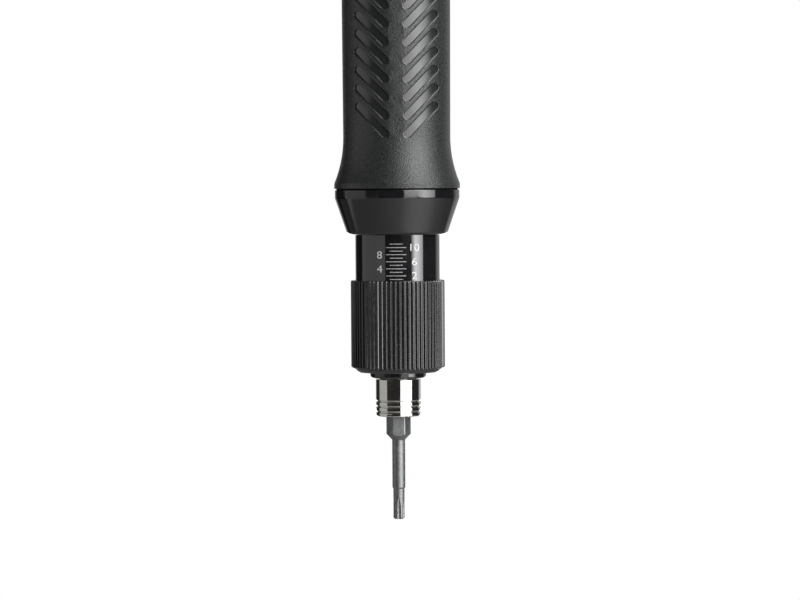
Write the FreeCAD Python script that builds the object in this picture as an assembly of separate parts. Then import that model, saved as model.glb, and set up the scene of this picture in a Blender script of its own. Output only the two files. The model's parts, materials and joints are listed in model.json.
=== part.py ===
import FreeCAD
import Part
import math
import os

# In-line electric torque screwdriver, hung upright with the bit pointing down.
# All sizes are millimetres. The origin lies on the tool's axis at the mouth of the bit socket.
# +Z runs up the tool and the torque scale faces -Y.

# Fits
press_gap = 0.02            # radial gap of a pressed or located fit
run_gap = 0.05              # radial gap of a running or sliding fit
end_gap = 0.3               # gap between faces that turn or slide past each other
loose_gap = 0.2             # gap round pieces that are only laid in a pocket

# Screwdriver bit
bit_flats = 6.3
bit_corner_cut = 0.112      # taken off each corner of the hexagon
bit_seat_length = 11.0      # hexagon inside the socket
bit_hex_length = 5.3        # hexagon below the socket
bit_cone_length = 1.7
bit_shank_diameter = 3.77
bit_shank_length = 13.8
bit_step_length = 0.45
bit_tip_diameter = 3.27
bit_tip_length = 8.8
bit_tip_chamfer = 0.3
bit_groove_depth = 0.92      # from the corners
bit_groove_width = 2.4
bit_end_chamfer = 0.5
flute_count = 6
flute_diameter = 1.3
flute_depth = 0.46
flute_length = 3.2          # straight part of a flute
flute_run_out = 3.0         # part where a flute rises out of the tip

# Quick-change chuck on the end of the spindle
spindle_wall = 1.55         # round the flats of the socket
clip_height = 0.3
clip_thickness = 0.6
clip_depth = 0.4
clip_width = 1.0
clip_mouth = 5.0
washer_thickness = 0.4
washer_clearance = 0.1      # inside the sleeve
sleeve_wall = 0.825
sleeve_length = 10.8
sleeve_travel = 2.0
sleeve_land = 2.4           # length of the bore that holds the balls in
sleeve_chamfer = 0.25
sleeve_cavity = 0.95        # room round the spindle for the spring
ridge_count = 3
ridge_pitch = 1.46
ridge_height = 0.34
sleeve_spring_wire = 0.45
sleeve_spring_turns = 2.5
sleeve_spring_clearance = 0.125
chuck_ball_play = 0.18      # between a ball and the bit's groove

# Torque ring with the bush that guides it on the spindle
bush_wall = 1.75
bush_flange_width = 1.6
bush_flange_thickness = 1.6
bush_round = 0.6
ring_wall = 1.4             # over the scale
ring_length = 26.7
ring_floor = 3.0
ring_chamfer = 1.5
ring_top_chamfer = 0.4
ring_skirt = 10.0           # part that slides over the scale
knurl_count = 64
knurl_depth = 0.42
knurl_land = 0.5            # width of a ridge's flat top
scale_step = 1.0            # ring travel for one turn, and for one mark of the scale
scale_turns = 9

# Torque clutch
seat_thickness = 1.5
seat_width = 3.4
clutch_spring_wire = 1.7
clutch_spring_turns = 6
clutch_spring_room = 1.7    # between the spindle and the spring
spring_room = 0.85          # between the spring and the barrel
shaft_step = 0.75           # spindle's shoulder under the lower cam
drive_flat_depth = 0.8      # flats that key the lower cam to the spindle
cam_thickness = 4.7
cam_gap = 1.5               # between the two cams
cam_clearance = 0.5         # under the bearing
clutch_ball_diameter = 3.0
clutch_ball_count = 6
cam_rim = 0.6               # cam outside its balls
pilot_step = 1.2            # shoulder under the pilot
pilot_length = 3.5

# Scale barrel
scale_wall = 1.7            # over the thread
scale_exposed = 13.2        # between the ring and the nose at rest
barrel_wall = 1.5           # inside the thread
barrel_lip = 1.6            # barrel inside the nose ring's mouth
barrel_flange_width = 1.4
barrel_flange_thickness = 2.8
bearing_step = 0.5          # bearing's seat outside the bore
bearing_bore = 8.0
bearing_width = 5.0

# Nose ring
nose_lip = 2.2              # round the scale
nose_wall = 2.15            # round the spigot
nose_length = 13.3
nose_band = 2.7
nose_round = 1.3
nose_edge = 0.25
nose_thread_length = 4.4    # ring screwed on to the grip's spigot

# Planetary gears: two stages share one internal gear
sun_teeth = 18
planet_teeth = 18
tooth_addendum = 0.85       # in modules
tooth_dedendum = 1.15       # in modules
pressure_angle = 20.0
backlash = 0.05             # taken off each flank
planet_count = 3
planet_width = 4.5
planet_pin_diameter = 2.4
carrier_clearance = 0.86    # inside the internal teeth
carrier_thickness = 2.6
stage_gap = 0.4
gear_case_wall = 2.34       # outside the internal teeth

# Motor
motor_clearance = 0.4       # inside the grip
can_wall = 1.0
can_length = 34.0
bell_thickness = 4.0
winding_clearance = 1.8     # between the end turns and the bells
stator_yoke = 1.28          # iron outside the slots
stator_slots = 6
slot_depth = 3.4
slot_width = 3.0
pole_tip = 1.0              # iron between the slots and the bore
winding_height = 3.2
magnet_clearance = 0.4
magnet_step = 1.0           # magnet inside the stator's ends
rotor_shaft_diameter = 3.0
motor_bearing_diameter = 8.0
motor_bearing_width = 3.0
bearing_lip = 1.0           # bell's lip that stops the bearing
shaft_tail = 4.6            # rotor shaft above the rear bell
sensor_board_thickness = 1.5
sensor_board_height = 1.5   # stand-off over the rear bell
sensor_board_step = 1.0     # inside the bell's edge
sensor_board_hole = 6.0
post_count = 3
post_diameter = 2.0

# Grip, two half shells that part on the plane y = 0
rim_step = 0.15             # proud of the nose ring
rim_band = 1.5
flare_depth = 2.7
flare_length = 13.4
grip_swell = 0.5            # radius gained from the waist to the clamp band
grip_length = 111.0         # waist to clamp band
clamp_band_length = 14.0
dome_length = 5.0
dome_lip = 0.6              # round the cap
grip_wall = 2.2             # at the waist
spigot_wall = 2.1
seam_width = 0.3
seam_depth = 0.25
chevron_margin = 3.0        # between the highest slot and the lever's tip
chevron_drop = 0.65         # lowest slot's foot below the waist
chevron_pitch = 5.2
chevron_width = 2.65
chevron_inner = 3.2         # centre line's end nearest the middle
chevron_outer = 10.8
chevron_rise = 7.95
chevron_depth = 0.45
boss_diameter = 5.6
boss_inset = 2.9            # centre inside the bore
screw_diameter = 2.4
screw_head_diameter = 4.4
screw_head_height = 1.7
screw_recess = 3.6          # head below the grip's side
screw_bite = 3.74           # thread in the front shell
screw_slot_width = 0.8
screw_slot_length = 2.6
screw_slot_depth = 0.8
upper_boss_drop = 6.0       # below the clamp band

# Start lever, its pin and its switch
lever_width = 9.0
lever_drop = 45.0           # tip below the pin
lever_rise = 3.2            # tip proud of the grip
lever_tip_round = 2.4
lever_shank = 3.4           # depth of the lever behind the grip's face
lever_edge = 0.8
lever_pin_drop = 4.0        # below the clamp band
lever_pin_inset = 1.7       # inside the bore
lever_pin_diameter = 2.0
lever_pin_length = 14.4
lever_eye_diameter = 4.6
lever_angle = 5.0
lug_width = 2.4
lug_height = 6.0
lug_depth = 4.2
start_reach = 12.0          # plunger below the lever's pin
start_switch_width = 6.4
start_switch_length = 13.0
lever_web = 2.1             # pin to the lever's inner face
plunger_diameter = 2.2
plunger_length = 4.4
plunger_show = 2.5
plunger_nose = 0.4          # cone on the plunger's tip

# Forward and reverse slide switch on the back
pad_width = 12.0
pad_length = 18.0
pad_rise = 0.7              # face of the flat outside the bore
pad_thickness = 2.5
pad_drop = 13.0             # centre below the clamp band
knob_width = 8.0
knob_length = 8.0
knob_thickness = 1.6
knob_rib = 0.7
knob_rib_count = 3
knob_travel = 2.5
knob_stem_width = 2.8
knob_stem_depth = 6.2
knob_lift = 0.15            # knob over the flat
direction_switch_width = 9.0
direction_switch_length = 15.0

# Circuit board and wires
board_thickness = 1.6
board_rise = 5.4            # above the sensor board
board_end_gap = 1.6         # below the cap's ledge
chip_width = 5.0
chip_length = 4.5
chip_height = 2.0
chip_rows = 3
chip_pitch = 5.5
chip_start = 11.0           # first row above the board's lower end
chip_offset = 5.0
capacitor_diameter = 7.0
capacitor_height = 7.0
capacitor_offset = 4.2
capacitor_start = 7.0       # above the board's lower end
wire_diameter = 1.2
motor_lead_spread = 5.0
motor_lead_offset = 6.5
motor_lead_rise = 6.0       # bend above the board's lower end
motor_lead_bend = 1.6
supply_lead_drop = 5.0      # bend below the board's upper end
supply_lead_bend = 0.8

# Top cap, connector and bail
cap_step = 0.6              # flange outside the cap
cap_height = 16.0           # cap above its flange
cap_flange_thickness = 3.0
cap_ledge = 2.0             # shell rib under the flange
cap_skirt = 2.0
cap_edge = 1.2
connector_diameter = 15.8
connector_flange_width = 1.9
connector_flange_thickness = 2.0
connector_collar = 7.0
connector_wall = 1.5
connector_shoulder = 1.2    # width of the seat under the insert
connector_insert = 5.0
connector_well = 14.0
pin_angles = (50, 90, 130, 230, 310)
pin_diameter = 1.2
pin_inset = 2.6             # inside the connector's bore
pin_rise = 6.0
pin_tail = 5.0
nut_width = 1.4
nut_slot_count = 4
nut_slot_width = 2.0
nut_slot_depth = 0.6
nut_thickness = 3.0
nut_recess = 1.2            # nut's seat above the cap's flange
bail_wire = 2.8
bail_pivot = 11.0           # above the cap's flange
bail_straight = 23.0
bail_bend = 1.8             # at the pivots, on the wire's centre line
bail_depth = 3.3            # wire end inside the cap

# Diameters worked out from the inside outwards
bit_corners = 2 * bit_flats / math.sqrt(3) - 2 * bit_corner_cut
bit_groove_diameter = bit_corners - 2 * bit_groove_depth
spindle_diameter = bit_flats + 2 * run_gap + 2 * spindle_wall
spindle_radius = spindle_diameter / 2
chuck_ball_orbit_end = spindle_radius + run_gap - press_gap
chuck_ball_diameter = chuck_ball_orbit_end - bit_groove_diameter / 2 - chuck_ball_play
sleeve_cavity_diameter = spindle_diameter + 2 * sleeve_cavity
sleeve_spring_diameter = sleeve_cavity_diameter - sleeve_spring_wire - 2 * sleeve_spring_clearance
sleeve_diameter = sleeve_cavity_diameter + 2 * sleeve_wall
bush_diameter = spindle_diameter + 2 * bush_wall
bush_flange_diameter = bush_diameter + 2 * bush_flange_width
shaft_diameter = spindle_diameter - 2 * shaft_step
shaft_radius = shaft_diameter / 2
drive_flats = shaft_diameter - 2 * drive_flat_depth
pilot_diameter = drive_flats - 2 * pilot_step
clutch_spring_diameter = spindle_diameter + 2 * clutch_spring_room + clutch_spring_wire
barrel_bore = clutch_spring_diameter + clutch_spring_wire + 2 * spring_room
cam_diameter = barrel_bore - 2 * end_gap
clutch_ball_circle = cam_diameter - clutch_ball_diameter - 2 * cam_rim
ring_thread_diameter = barrel_bore + 2 * barrel_wall
scale_diameter = ring_thread_diameter + 2 * scale_wall
ring_diameter = scale_diameter + 2 * ring_wall
bearing_diameter = barrel_bore + 2 * bearing_step
barrel_flange_diameter = scale_diameter + 2 * barrel_flange_width
gear_case_diameter = barrel_flange_diameter
ring_teeth = sun_teeth + 2 * planet_teeth
gear_module = (gear_case_diameter - 2 * gear_case_wall) / (ring_teeth + 2 * tooth_dedendum)
sun_pitch_radius = gear_module * sun_teeth / 2
planet_pitch_radius = gear_module * planet_teeth / 2
ring_pitch_radius = gear_module * ring_teeth / 2
planet_orbit = sun_pitch_radius + planet_pitch_radius
carrier_diameter = 2 * (ring_pitch_radius - tooth_addendum * gear_module - carrier_clearance)
gear_pocket_diameter = gear_case_diameter + 2 * loose_gap
spigot_diameter = gear_pocket_diameter + 2 * spigot_wall
nose_mouth_diameter = scale_diameter + 2 * nose_lip
nose_top_diameter = spigot_diameter + 2 * nose_wall
rim_diameter = nose_top_diameter + 2 * rim_step
waist_diameter = rim_diameter - 2 * flare_depth
grip_top_diameter = waist_diameter + 2 * grip_swell
grip_bore = waist_diameter - 2 * grip_wall
grip_bore_radius = grip_bore / 2
motor_diameter = grip_bore - 2 * motor_clearance
stator_diameter = motor_diameter - 2 * can_wall - 2 * press_gap
stator_bore = stator_diameter - 2 * (stator_yoke + slot_depth + pole_tip)
magnet_diameter = stator_bore - 2 * magnet_clearance
sensor_board_diameter = motor_diameter - 2 * sensor_board_step
post_circle = sensor_board_diameter - post_diameter
cap_flange_diameter = grip_bore - 2 * loose_gap
cap_diameter = cap_flange_diameter - 2 * cap_step
dome_diameter = cap_diameter + 2 * dome_lip
connector_flange_diameter = connector_diameter + 2 * connector_flange_width
connector_bore = connector_diameter - 2 * connector_wall
pin_circle = connector_bore - 2 * pin_inset
nut_diameter = connector_diameter + 2 * nut_width
bail_half_width = cap_diameter / 2 + bail_bend

# Distances from the axis, along Y, worked out from the sizes above
board_front = -board_thickness / 2
board_back = board_thickness / 2
lever_pin_depth = grip_bore_radius - lever_pin_inset
lever_face = lever_pin_depth - lever_web
start_switch_face = lever_face - plunger_show
pad_depth = grip_bore_radius + pad_rise
boss_offset = grip_bore_radius - boss_inset

# Heights worked out from the sizes above
sleeve_spring_length = sleeve_travel + (sleeve_spring_turns + 1.5) * sleeve_spring_wire
washer_bottom = clip_height + clip_thickness
sleeve_spring_bottom = washer_bottom + washer_thickness
land_bottom = sleeve_spring_bottom + sleeve_spring_length
land_top = land_bottom + sleeve_land
chuck_ball_height = land_bottom + sleeve_land / 2
bush_bottom = sleeve_length + end_gap
ring_bottom = bush_bottom + bush_flange_thickness
ring_top = ring_bottom + ring_length
ring_travel = scale_turns * scale_step
seat_bottom = ring_bottom + ring_floor
clutch_spring_bottom = seat_bottom + seat_thickness
ring_shoulder = ring_top - ring_skirt
barrel_bottom = seat_bottom + ring_travel + end_gap
barrel_shoulder = ring_shoulder + ring_travel + end_gap
nose_bottom = ring_top + scale_exposed
nose_top = nose_bottom + nose_length
flange_bottom = nose_bottom + barrel_lip
flange_top = flange_bottom + barrel_flange_thickness
bearing_top = flange_top - stage_gap
bearing_bottom = bearing_top - bearing_width
upper_cam_top = bearing_bottom - cam_clearance
upper_cam_bottom = upper_cam_top - cam_thickness
lower_cam_top = upper_cam_bottom - cam_gap
lower_cam_bottom = lower_cam_top - cam_thickness
carrier_two_bottom = flange_top + stage_gap
carrier_two_top = carrier_two_bottom + carrier_thickness
planets_two_bottom = carrier_two_top + end_gap
planets_two_top = planets_two_bottom + planet_width
carrier_one_bottom = planets_two_top + stage_gap
carrier_one_top = carrier_one_bottom + carrier_thickness
planets_one_bottom = carrier_one_top + end_gap
planets_one_top = planets_one_bottom + planet_width
motor_bottom = planets_one_top + 2 * stage_gap
can_bottom = motor_bottom + bell_thickness
can_top = can_bottom + can_length
rear_bell_top = can_top + bell_thickness
stator_bottom = can_bottom + winding_clearance + winding_height
stator_top = can_top - winding_clearance - winding_height
magnet_bottom = stator_bottom + magnet_step
magnet_top = stator_top - magnet_step
sensor_board_bottom = rear_bell_top + sensor_board_height
sensor_board_top = sensor_board_bottom + sensor_board_thickness
spigot_bottom = nose_top - nose_thread_length
rim_top = nose_top + rim_band
waist = rim_top + flare_length
band_bottom = waist + grip_length
band_top = band_bottom + clamp_band_length
dome_top = band_top + dome_length
cap_flange_top = band_top - loose_gap
cap_flange_bottom = cap_flange_top - cap_flange_thickness
ledge_top = cap_flange_bottom - loose_gap
ledge_bottom = ledge_top - cap_ledge
cap_top = cap_flange_top + cap_height
connector_top = cap_top + connector_flange_thickness + connector_collar
well_floor = connector_top - connector_well
nut_top = cap_flange_top + nut_recess
bail_axis = cap_flange_top + bail_pivot
lever_pin_z = band_bottom - lever_pin_drop
lever_tip_z = lever_pin_z - lever_drop
start_z = lever_pin_z - start_reach
pad_z = band_bottom - pad_drop
upper_boss_z = band_bottom - upper_boss_drop
lower_boss_z = lever_tip_z
board_bottom = sensor_board_top + board_rise
board_top = ledge_bottom - board_end_gap

# Rows of grip slots that fit from the waist up to the lever
chevron_span = lever_tip_z - chevron_margin - waist + chevron_drop - chevron_rise - chevron_width
chevron_rows = int(chevron_span / chevron_pitch) + 1

V = FreeCAD.Vector
axis_x = V(1, 0, 0)
axis_y = V(0, 1, 0)
axis_z = V(0, 0, 1)
centre = V(0, 0, 0)


# Closed wire through points; an entry of two points is an arc through the first to the second.
def closed_wire(points, place):
    edges = []
    here = points[0]
    for step in points[1:] + points[:1]:
        if isinstance(step[0], tuple):
            middle, end = step
            edges.append(Part.Arc(place(here), place(middle), place(end)).toShape())
        else:
            end = step
            edges.append(Part.LineSegment(place(here), place(end)).toShape())
        here = end
    return Part.Wire(edges)


# Solid turned about the tool's axis from (radius, height) points.
def turned(points):
    wire = closed_wire(points, lambda p: V(p[0], 0, p[1]))
    return Part.Face(wire).revolve(centre, axis_z, 360)


def cylinder(diameter, bottom, top):
    return Part.makeCylinder(diameter / 2, top - bottom, V(0, 0, bottom))


def tube(outer, inner, bottom, top):
    return cylinder(outer, bottom, top).cut(cylinder(inner, bottom, top))


# Round bar from a point along a direction.
def bar(diameter, start, direction, length):
    return Part.makeCylinder(diameter / 2, length, start, direction)


# Block between two corners.
def block(low, high):
    size = high.sub(low)
    return Part.makeBox(size.x, size.y, size.z, low)


# Hexagonal prism with a flat facing -Y.
def hexagon(flats, bottom, top):
    corner = flats / math.sqrt(3)
    points = []
    for i in range(6):
        angle = math.radians(60 * i)
        points.append((corner * math.cos(angle), corner * math.sin(angle)))
    wire = closed_wire(points, lambda p: V(p[0], p[1], bottom))
    return Part.Face(wire).extrude(V(0, 0, top - bottom))


def joined(shapes):
    whole = shapes[0]
    for shape in shapes[1:]:
        whole = whole.fuse(shape)
    return whole.removeSplitter()


def cut_all(shape, tools):
    for tool in tools:
        shape = shape.cut(tool)
    return shape


# Copies of a shape turned about the tool's axis.
def spun(shape, count, first=0.0):
    copies = []
    for i in range(count):
        copy = shape.copy()
        copy.rotate(centre, axis_z, first + 360.0 * i / count)
        copies.append(copy)
    return copies


# Two tangent arcs from one point and direction to another.
def biarc(start, start_way, end, end_way):
    chord = end.sub(start)
    both = start_way.add(end_way)
    bend = 2 * (1 - start_way.dot(end_way))
    along = chord.dot(both)
    reach = (math.sqrt(along ** 2 + bend * chord.dot(chord)) - along) / bend
    meet = start.add(end).add(start_way.sub(end_way).multiply(reach)).multiply(0.5)
    arcs = []
    for a, way, b in ((start, start_way, meet), (end, end_way.negative(), meet)):
        corner = a.add(V(way).multiply(reach))
        half = a.add(b).multiply(0.5)
        cosine = a.sub(b).Length / (2 * reach)
        middle = half.add(corner.sub(half).multiply(cosine / (1 + cosine)))
        ends = (a, middle, b) if a is start else (b, middle, a)
        arcs.append(Part.Arc(*ends).toShape())
    return arcs


# Coil spring about Z; the wire's centre line runs from bottom to top.
def coil(diameter, wire, bottom, top, turns):
    radius = diameter / 2
    low = bottom + wire / 2
    rise = (top - bottom - wire) / turns
    quarter = math.pi / 2
    slope = rise / (2 * math.pi)

    def point(angle):
        return V(radius * math.cos(angle), radius * math.sin(angle), low + slope * angle)

    def way(angle):
        direction = V(-radius * math.sin(angle), radius * math.cos(angle), slope)
        return direction.normalize()

    edges = []
    for i in range(round(4 * turns)):
        a = i * quarter
        b = a + quarter
        edges += biarc(point(a), way(a), point(b), way(b))
    section = Part.Wire(Part.makeCircle(wire / 2, point(0), way(0)))
    print("coil of", turns, "turns, least gap to itself", round(rise - wire, 2))
    return Part.Wire(edges).makePipeShell([section], True, False)


# Tube along straight runs joined by arcs of one radius.
def bent_tube(diameter, points, bend):
    edges = []
    here = points[0]
    for i in range(1, len(points) - 1):
        corner = points[i]
        back = points[i - 1].sub(corner).normalize()
        on = points[i + 1].sub(corner).normalize()
        half_turn = (math.pi - back.getAngle(on)) / 2
        tangent = bend * math.tan(half_turn)
        a = corner.add(V(back).multiply(tangent))
        b = corner.add(V(on).multiply(tangent))
        inward = back.add(on).normalize()
        middle = corner.add(inward.multiply(bend / math.cos(half_turn) - bend))
        edges.append(Part.LineSegment(here, a).toShape())
        edges.append(Part.Arc(a, middle, b).toShape())
        here = b
    edges.append(Part.LineSegment(here, points[-1]).toShape())
    section = Part.Wire(Part.makeCircle(diameter / 2, points[0], points[1].sub(points[0])))
    return Part.Wire(edges).makePipeShell([section], True, False)


# Spur gear prism with a tooth on +X; each flank is one arc through three involute points.
def gear(teeth, tip_radius, root_radius, thinning, bottom, top):
    pitch_radius = gear_module * teeth / 2
    pressure = math.radians(pressure_angle)
    base_radius = pitch_radius * math.cos(pressure)
    half_pitch = math.pi / (2 * teeth) - thinning / pitch_radius
    start_radius = max(base_radius, root_radius)

    def half_angle(radius):
        local = math.acos(min(1.0, base_radius / radius))
        return half_pitch + math.tan(pressure) - pressure - math.tan(local) + local

    def at(radius, angle):
        return (radius * math.cos(angle), radius * math.sin(angle))

    middle_radius = (start_radius + tip_radius) / 2
    points = []
    for i in range(teeth):
        tooth = 2 * math.pi * i / teeth
        foot = half_angle(start_radius)
        waist_angle = half_angle(middle_radius)
        tip = half_angle(tip_radius)
        if start_radius > root_radius:
            points.append(at(root_radius, tooth - foot))
        points.append(at(start_radius, tooth - foot))
        points.append((at(middle_radius, tooth - waist_angle), at(tip_radius, tooth - tip)))
        points.append((at(tip_radius, tooth), at(tip_radius, tooth + tip)))
        points.append((at(middle_radius, tooth + waist_angle), at(start_radius, tooth + foot)))
        if start_radius > root_radius:
            points.append(at(root_radius, tooth + foot))
    wire = closed_wire(points, lambda p: V(p[0], p[1], bottom))
    return Part.Face(wire).extrude(V(0, 0, top - bottom))


def outer_gear(teeth, bottom, top):
    pitch_radius = gear_module * teeth / 2
    tip_radius = pitch_radius + tooth_addendum * gear_module
    root_radius = pitch_radius - tooth_dedendum * gear_module
    return gear(teeth, tip_radius, root_radius, backlash, bottom, top)


# Sun gear, with a tooth space on +X to meet the planets' teeth.
def sun_gear(bottom, top):
    sun = outer_gear(sun_teeth, bottom, top)
    sun.rotate(centre, axis_z, 180.0 / sun_teeth)
    return sun


# Grip's outer radius at a height above the waist.
def grip_radius(z):
    return waist_diameter / 2 + grip_swell * (z - waist) / grip_length


def make_bit():
    shank_bottom = -bit_hex_length - bit_cone_length - bit_shank_length
    tip_top = shank_bottom - bit_step_length
    tip_bottom = tip_top - bit_tip_length
    hex_part = hexagon(bit_flats, -bit_hex_length - bit_cone_length, bit_seat_length)
    corner = bit_corners / 2
    shank = bit_shank_diameter / 2
    tip = bit_tip_diameter / 2
    groove = bit_groove_diameter / 2
    groove_low = chuck_ball_height - bit_groove_width / 2
    groove_high = chuck_ball_height + bit_groove_width / 2
    cone_bottom = -bit_hex_length - bit_cone_length
    envelope = turned([
        (0, cone_bottom), (shank, cone_bottom), (corner, -bit_hex_length), (corner, groove_low),
        ((groove, chuck_ball_height), (corner, groove_high)),
        (corner, bit_seat_length - bit_end_chamfer),
        (corner - bit_end_chamfer, bit_seat_length), (0, bit_seat_length)])
    lower = turned([
        (0, cone_bottom), (shank, cone_bottom), (shank, shank_bottom), (tip, tip_top),
        (tip, tip_bottom + bit_tip_chamfer), (tip - bit_tip_chamfer, tip_bottom), (0, tip_bottom)])
    flute_axis = tip - flute_depth + flute_diameter / 2
    straight = bar(flute_diameter, V(flute_axis, 0, tip_bottom), axis_z, flute_length)
    bend_point = V(flute_axis, 0, tip_bottom + flute_length)
    outward = V(flute_depth, 0, flute_run_out)
    run_out = bar(flute_diameter, bend_point, outward, 2 * flute_run_out)
    elbow = Part.makeSphere(flute_diameter / 2, bend_point)
    flute = joined([straight, elbow, run_out])
    lower = cut_all(lower, spun(flute, flute_count, -90.0))
    return joined([hex_part.common(envelope), lower])


def make_spindle():
    drive_top = lower_cam_top
    pilot = pilot_diameter / 2
    body = turned([
        (0, 0), (spindle_radius, 0), (spindle_radius, clip_height),
        (spindle_radius - clip_depth, clip_height), (spindle_radius - clip_depth, washer_bottom),
        (spindle_radius, washer_bottom), (spindle_radius, lower_cam_bottom - end_gap),
        (shaft_radius, lower_cam_bottom - end_gap), (shaft_radius, drive_top),
        (pilot, drive_top), (pilot, upper_cam_bottom + pilot_length),
        (0, upper_cam_bottom + pilot_length)])
    socket = hexagon(bit_flats + 2 * run_gap, 0, bit_seat_length)
    hole = bar(chuck_ball_diameter + 2 * run_gap, V(0, -spindle_diameter, chuck_ball_height),
               axis_y, 2 * spindle_diameter)
    flat_low = lower_cam_bottom - end_gap
    flats = []
    for side in (-1, 1):
        near = side * drive_flats / 2
        far = side * spindle_diameter
        flats.append(block(V(-spindle_diameter, min(near, far), flat_low),
                           V(spindle_diameter, max(near, far), drive_top)))
    return cut_all(body, [socket, hole] + flats)


def make_chuck_balls():
    orbit = chuck_ball_orbit_end - chuck_ball_diameter / 2
    balls = []
    for side in (-1, 1):
        balls.append(Part.makeSphere(chuck_ball_diameter / 2, V(0, side * orbit, chuck_ball_height)))
    return Part.makeCompound(balls)


def make_chuck_clip():
    seat = spindle_radius - clip_depth + press_gap
    ring = tube(2 * (seat + clip_width), 2 * seat, clip_height, washer_bottom)
    mouth = block(V(0, -clip_mouth / 2, clip_height), V(sleeve_diameter, clip_mouth / 2, washer_bottom))
    return ring.cut(mouth)


def make_chuck_washer():
    inner = spindle_diameter + 2 * run_gap
    outer = sleeve_cavity_diameter - 2 * washer_clearance
    return tube(outer, inner, washer_bottom, sleeve_spring_bottom)


def make_sleeve_spring():
    return coil(sleeve_spring_diameter, sleeve_spring_wire, sleeve_spring_bottom, land_bottom,
                sleeve_spring_turns)


def make_chuck_sleeve():
    outer = sleeve_diameter / 2
    valley = outer - ridge_height
    land = spindle_radius + run_gap
    cavity = sleeve_cavity_diameter / 2
    outline = [(cavity, 0), (valley, 0)]
    low = 0.0
    for i in range(ridge_count):
        outline.append(((outer, low + ridge_pitch / 2), (valley, low + ridge_pitch)))
        low += ridge_pitch
    outline += [
        (outer, low + ridge_height), (outer, sleeve_length - sleeve_chamfer),
        (outer - sleeve_chamfer, sleeve_length), (cavity, sleeve_length), (cavity, land_top),
        (land, land_top), (land, land_bottom), (cavity, land_bottom)]
    return turned(outline)


def make_ring_bush():
    bore = spindle_radius + run_gap
    flange = bush_flange_diameter / 2
    seat = bush_diameter / 2
    slant = bush_round * math.sin(math.radians(45))
    return turned([
        (bore, bush_bottom), (flange - bush_round, bush_bottom),
        ((flange - bush_round + slant, bush_bottom + bush_round - slant),
         (flange, bush_bottom + bush_round)),
        (flange, ring_bottom), (seat, ring_bottom), (seat, seat_bottom), (bore, seat_bottom)])


def make_torque_ring():
    outer = ring_diameter / 2
    valley = outer - knurl_depth
    step = 2 * math.pi / knurl_count
    land = knurl_land / outer
    points = []
    for i in range(knurl_count):
        for radius, angle in ((outer, -land / 2), (outer, land / 2), (valley, step / 2)):
            turn = i * step + angle
            points.append((radius * math.cos(turn), radius * math.sin(turn)))
    wire = closed_wire(points, lambda p: V(p[0], p[1], ring_bottom))
    knurled = Part.Face(wire).extrude(V(0, 0, ring_length))
    envelope = turned([
        (0, ring_bottom), (outer - ring_chamfer, ring_bottom), (outer, ring_bottom + ring_chamfer),
        (outer, ring_top - ring_top_chamfer), (outer - ring_top_chamfer, ring_top), (0, ring_top)])
    slide = scale_diameter / 2 + run_gap
    thread = ring_thread_diameter / 2 + run_gap
    hole = bush_diameter / 2 + press_gap
    hollow = turned([
        (0, ring_bottom), (hole, ring_bottom), (hole, seat_bottom), (thread, seat_bottom),
        (thread, ring_shoulder), (slide, ring_shoulder), (slide, ring_top), (0, ring_top)])
    return knurled.common(envelope).cut(hollow)


def make_spring_seat():
    inner = spindle_diameter + 2 * loose_gap
    return tube(inner + 2 * seat_width, inner, seat_bottom, clutch_spring_bottom)


def make_clutch_spring():
    return coil(clutch_spring_diameter, clutch_spring_wire, clutch_spring_bottom, lower_cam_bottom,
                clutch_spring_turns)


def clutch_pockets(gap):
    height = (lower_cam_top + upper_cam_bottom) / 2
    ball = Part.makeSphere(clutch_ball_diameter / 2 + gap, V(clutch_ball_circle / 2, 0, height))
    return spun(ball, clutch_ball_count)


def make_clutch_balls():
    return Part.makeCompound(clutch_pockets(0.0))


def make_lower_cam():
    cam = cylinder(cam_diameter, lower_cam_bottom, lower_cam_top)
    bore = cylinder(shaft_diameter + 2 * press_gap, lower_cam_bottom, lower_cam_top)
    half = drive_flats / 2 + press_gap
    between_flats = block(V(-cam_diameter, -half, lower_cam_bottom), V(cam_diameter, half, lower_cam_top))
    keyed = bore.common(between_flats)
    return cut_all(cam, [keyed] + clutch_pockets(press_gap))


# Upper cam with the hub that runs in the barrel's bearing and carries the second carrier.
def make_upper_cam():
    cam = cylinder(cam_diameter, upper_cam_bottom, upper_cam_top)
    hub = cylinder(bearing_bore - 2 * run_gap, upper_cam_top, carrier_two_top)
    pilot = cylinder(pilot_diameter + 2 * press_gap, upper_cam_bottom, upper_cam_bottom + pilot_length)
    return cut_all(joined([cam, hub]), [pilot] + clutch_pockets(press_gap))


def make_output_bearing():
    return tube(bearing_diameter, bearing_bore, bearing_bottom, bearing_top)


def make_scale_barrel():
    scale = scale_diameter / 2
    thread = ring_thread_diameter / 2
    flange = barrel_flange_diameter / 2
    bore = barrel_bore / 2
    seat = bearing_diameter / 2 + press_gap
    return turned([
        (bore, barrel_bottom), (thread, barrel_bottom), (thread, barrel_shoulder), (scale, barrel_shoulder),
        (scale, flange_bottom), (flange, flange_bottom), (flange, flange_top), (seat, flange_top),
        (seat, bearing_bottom), (bore, bearing_bottom)])


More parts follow.
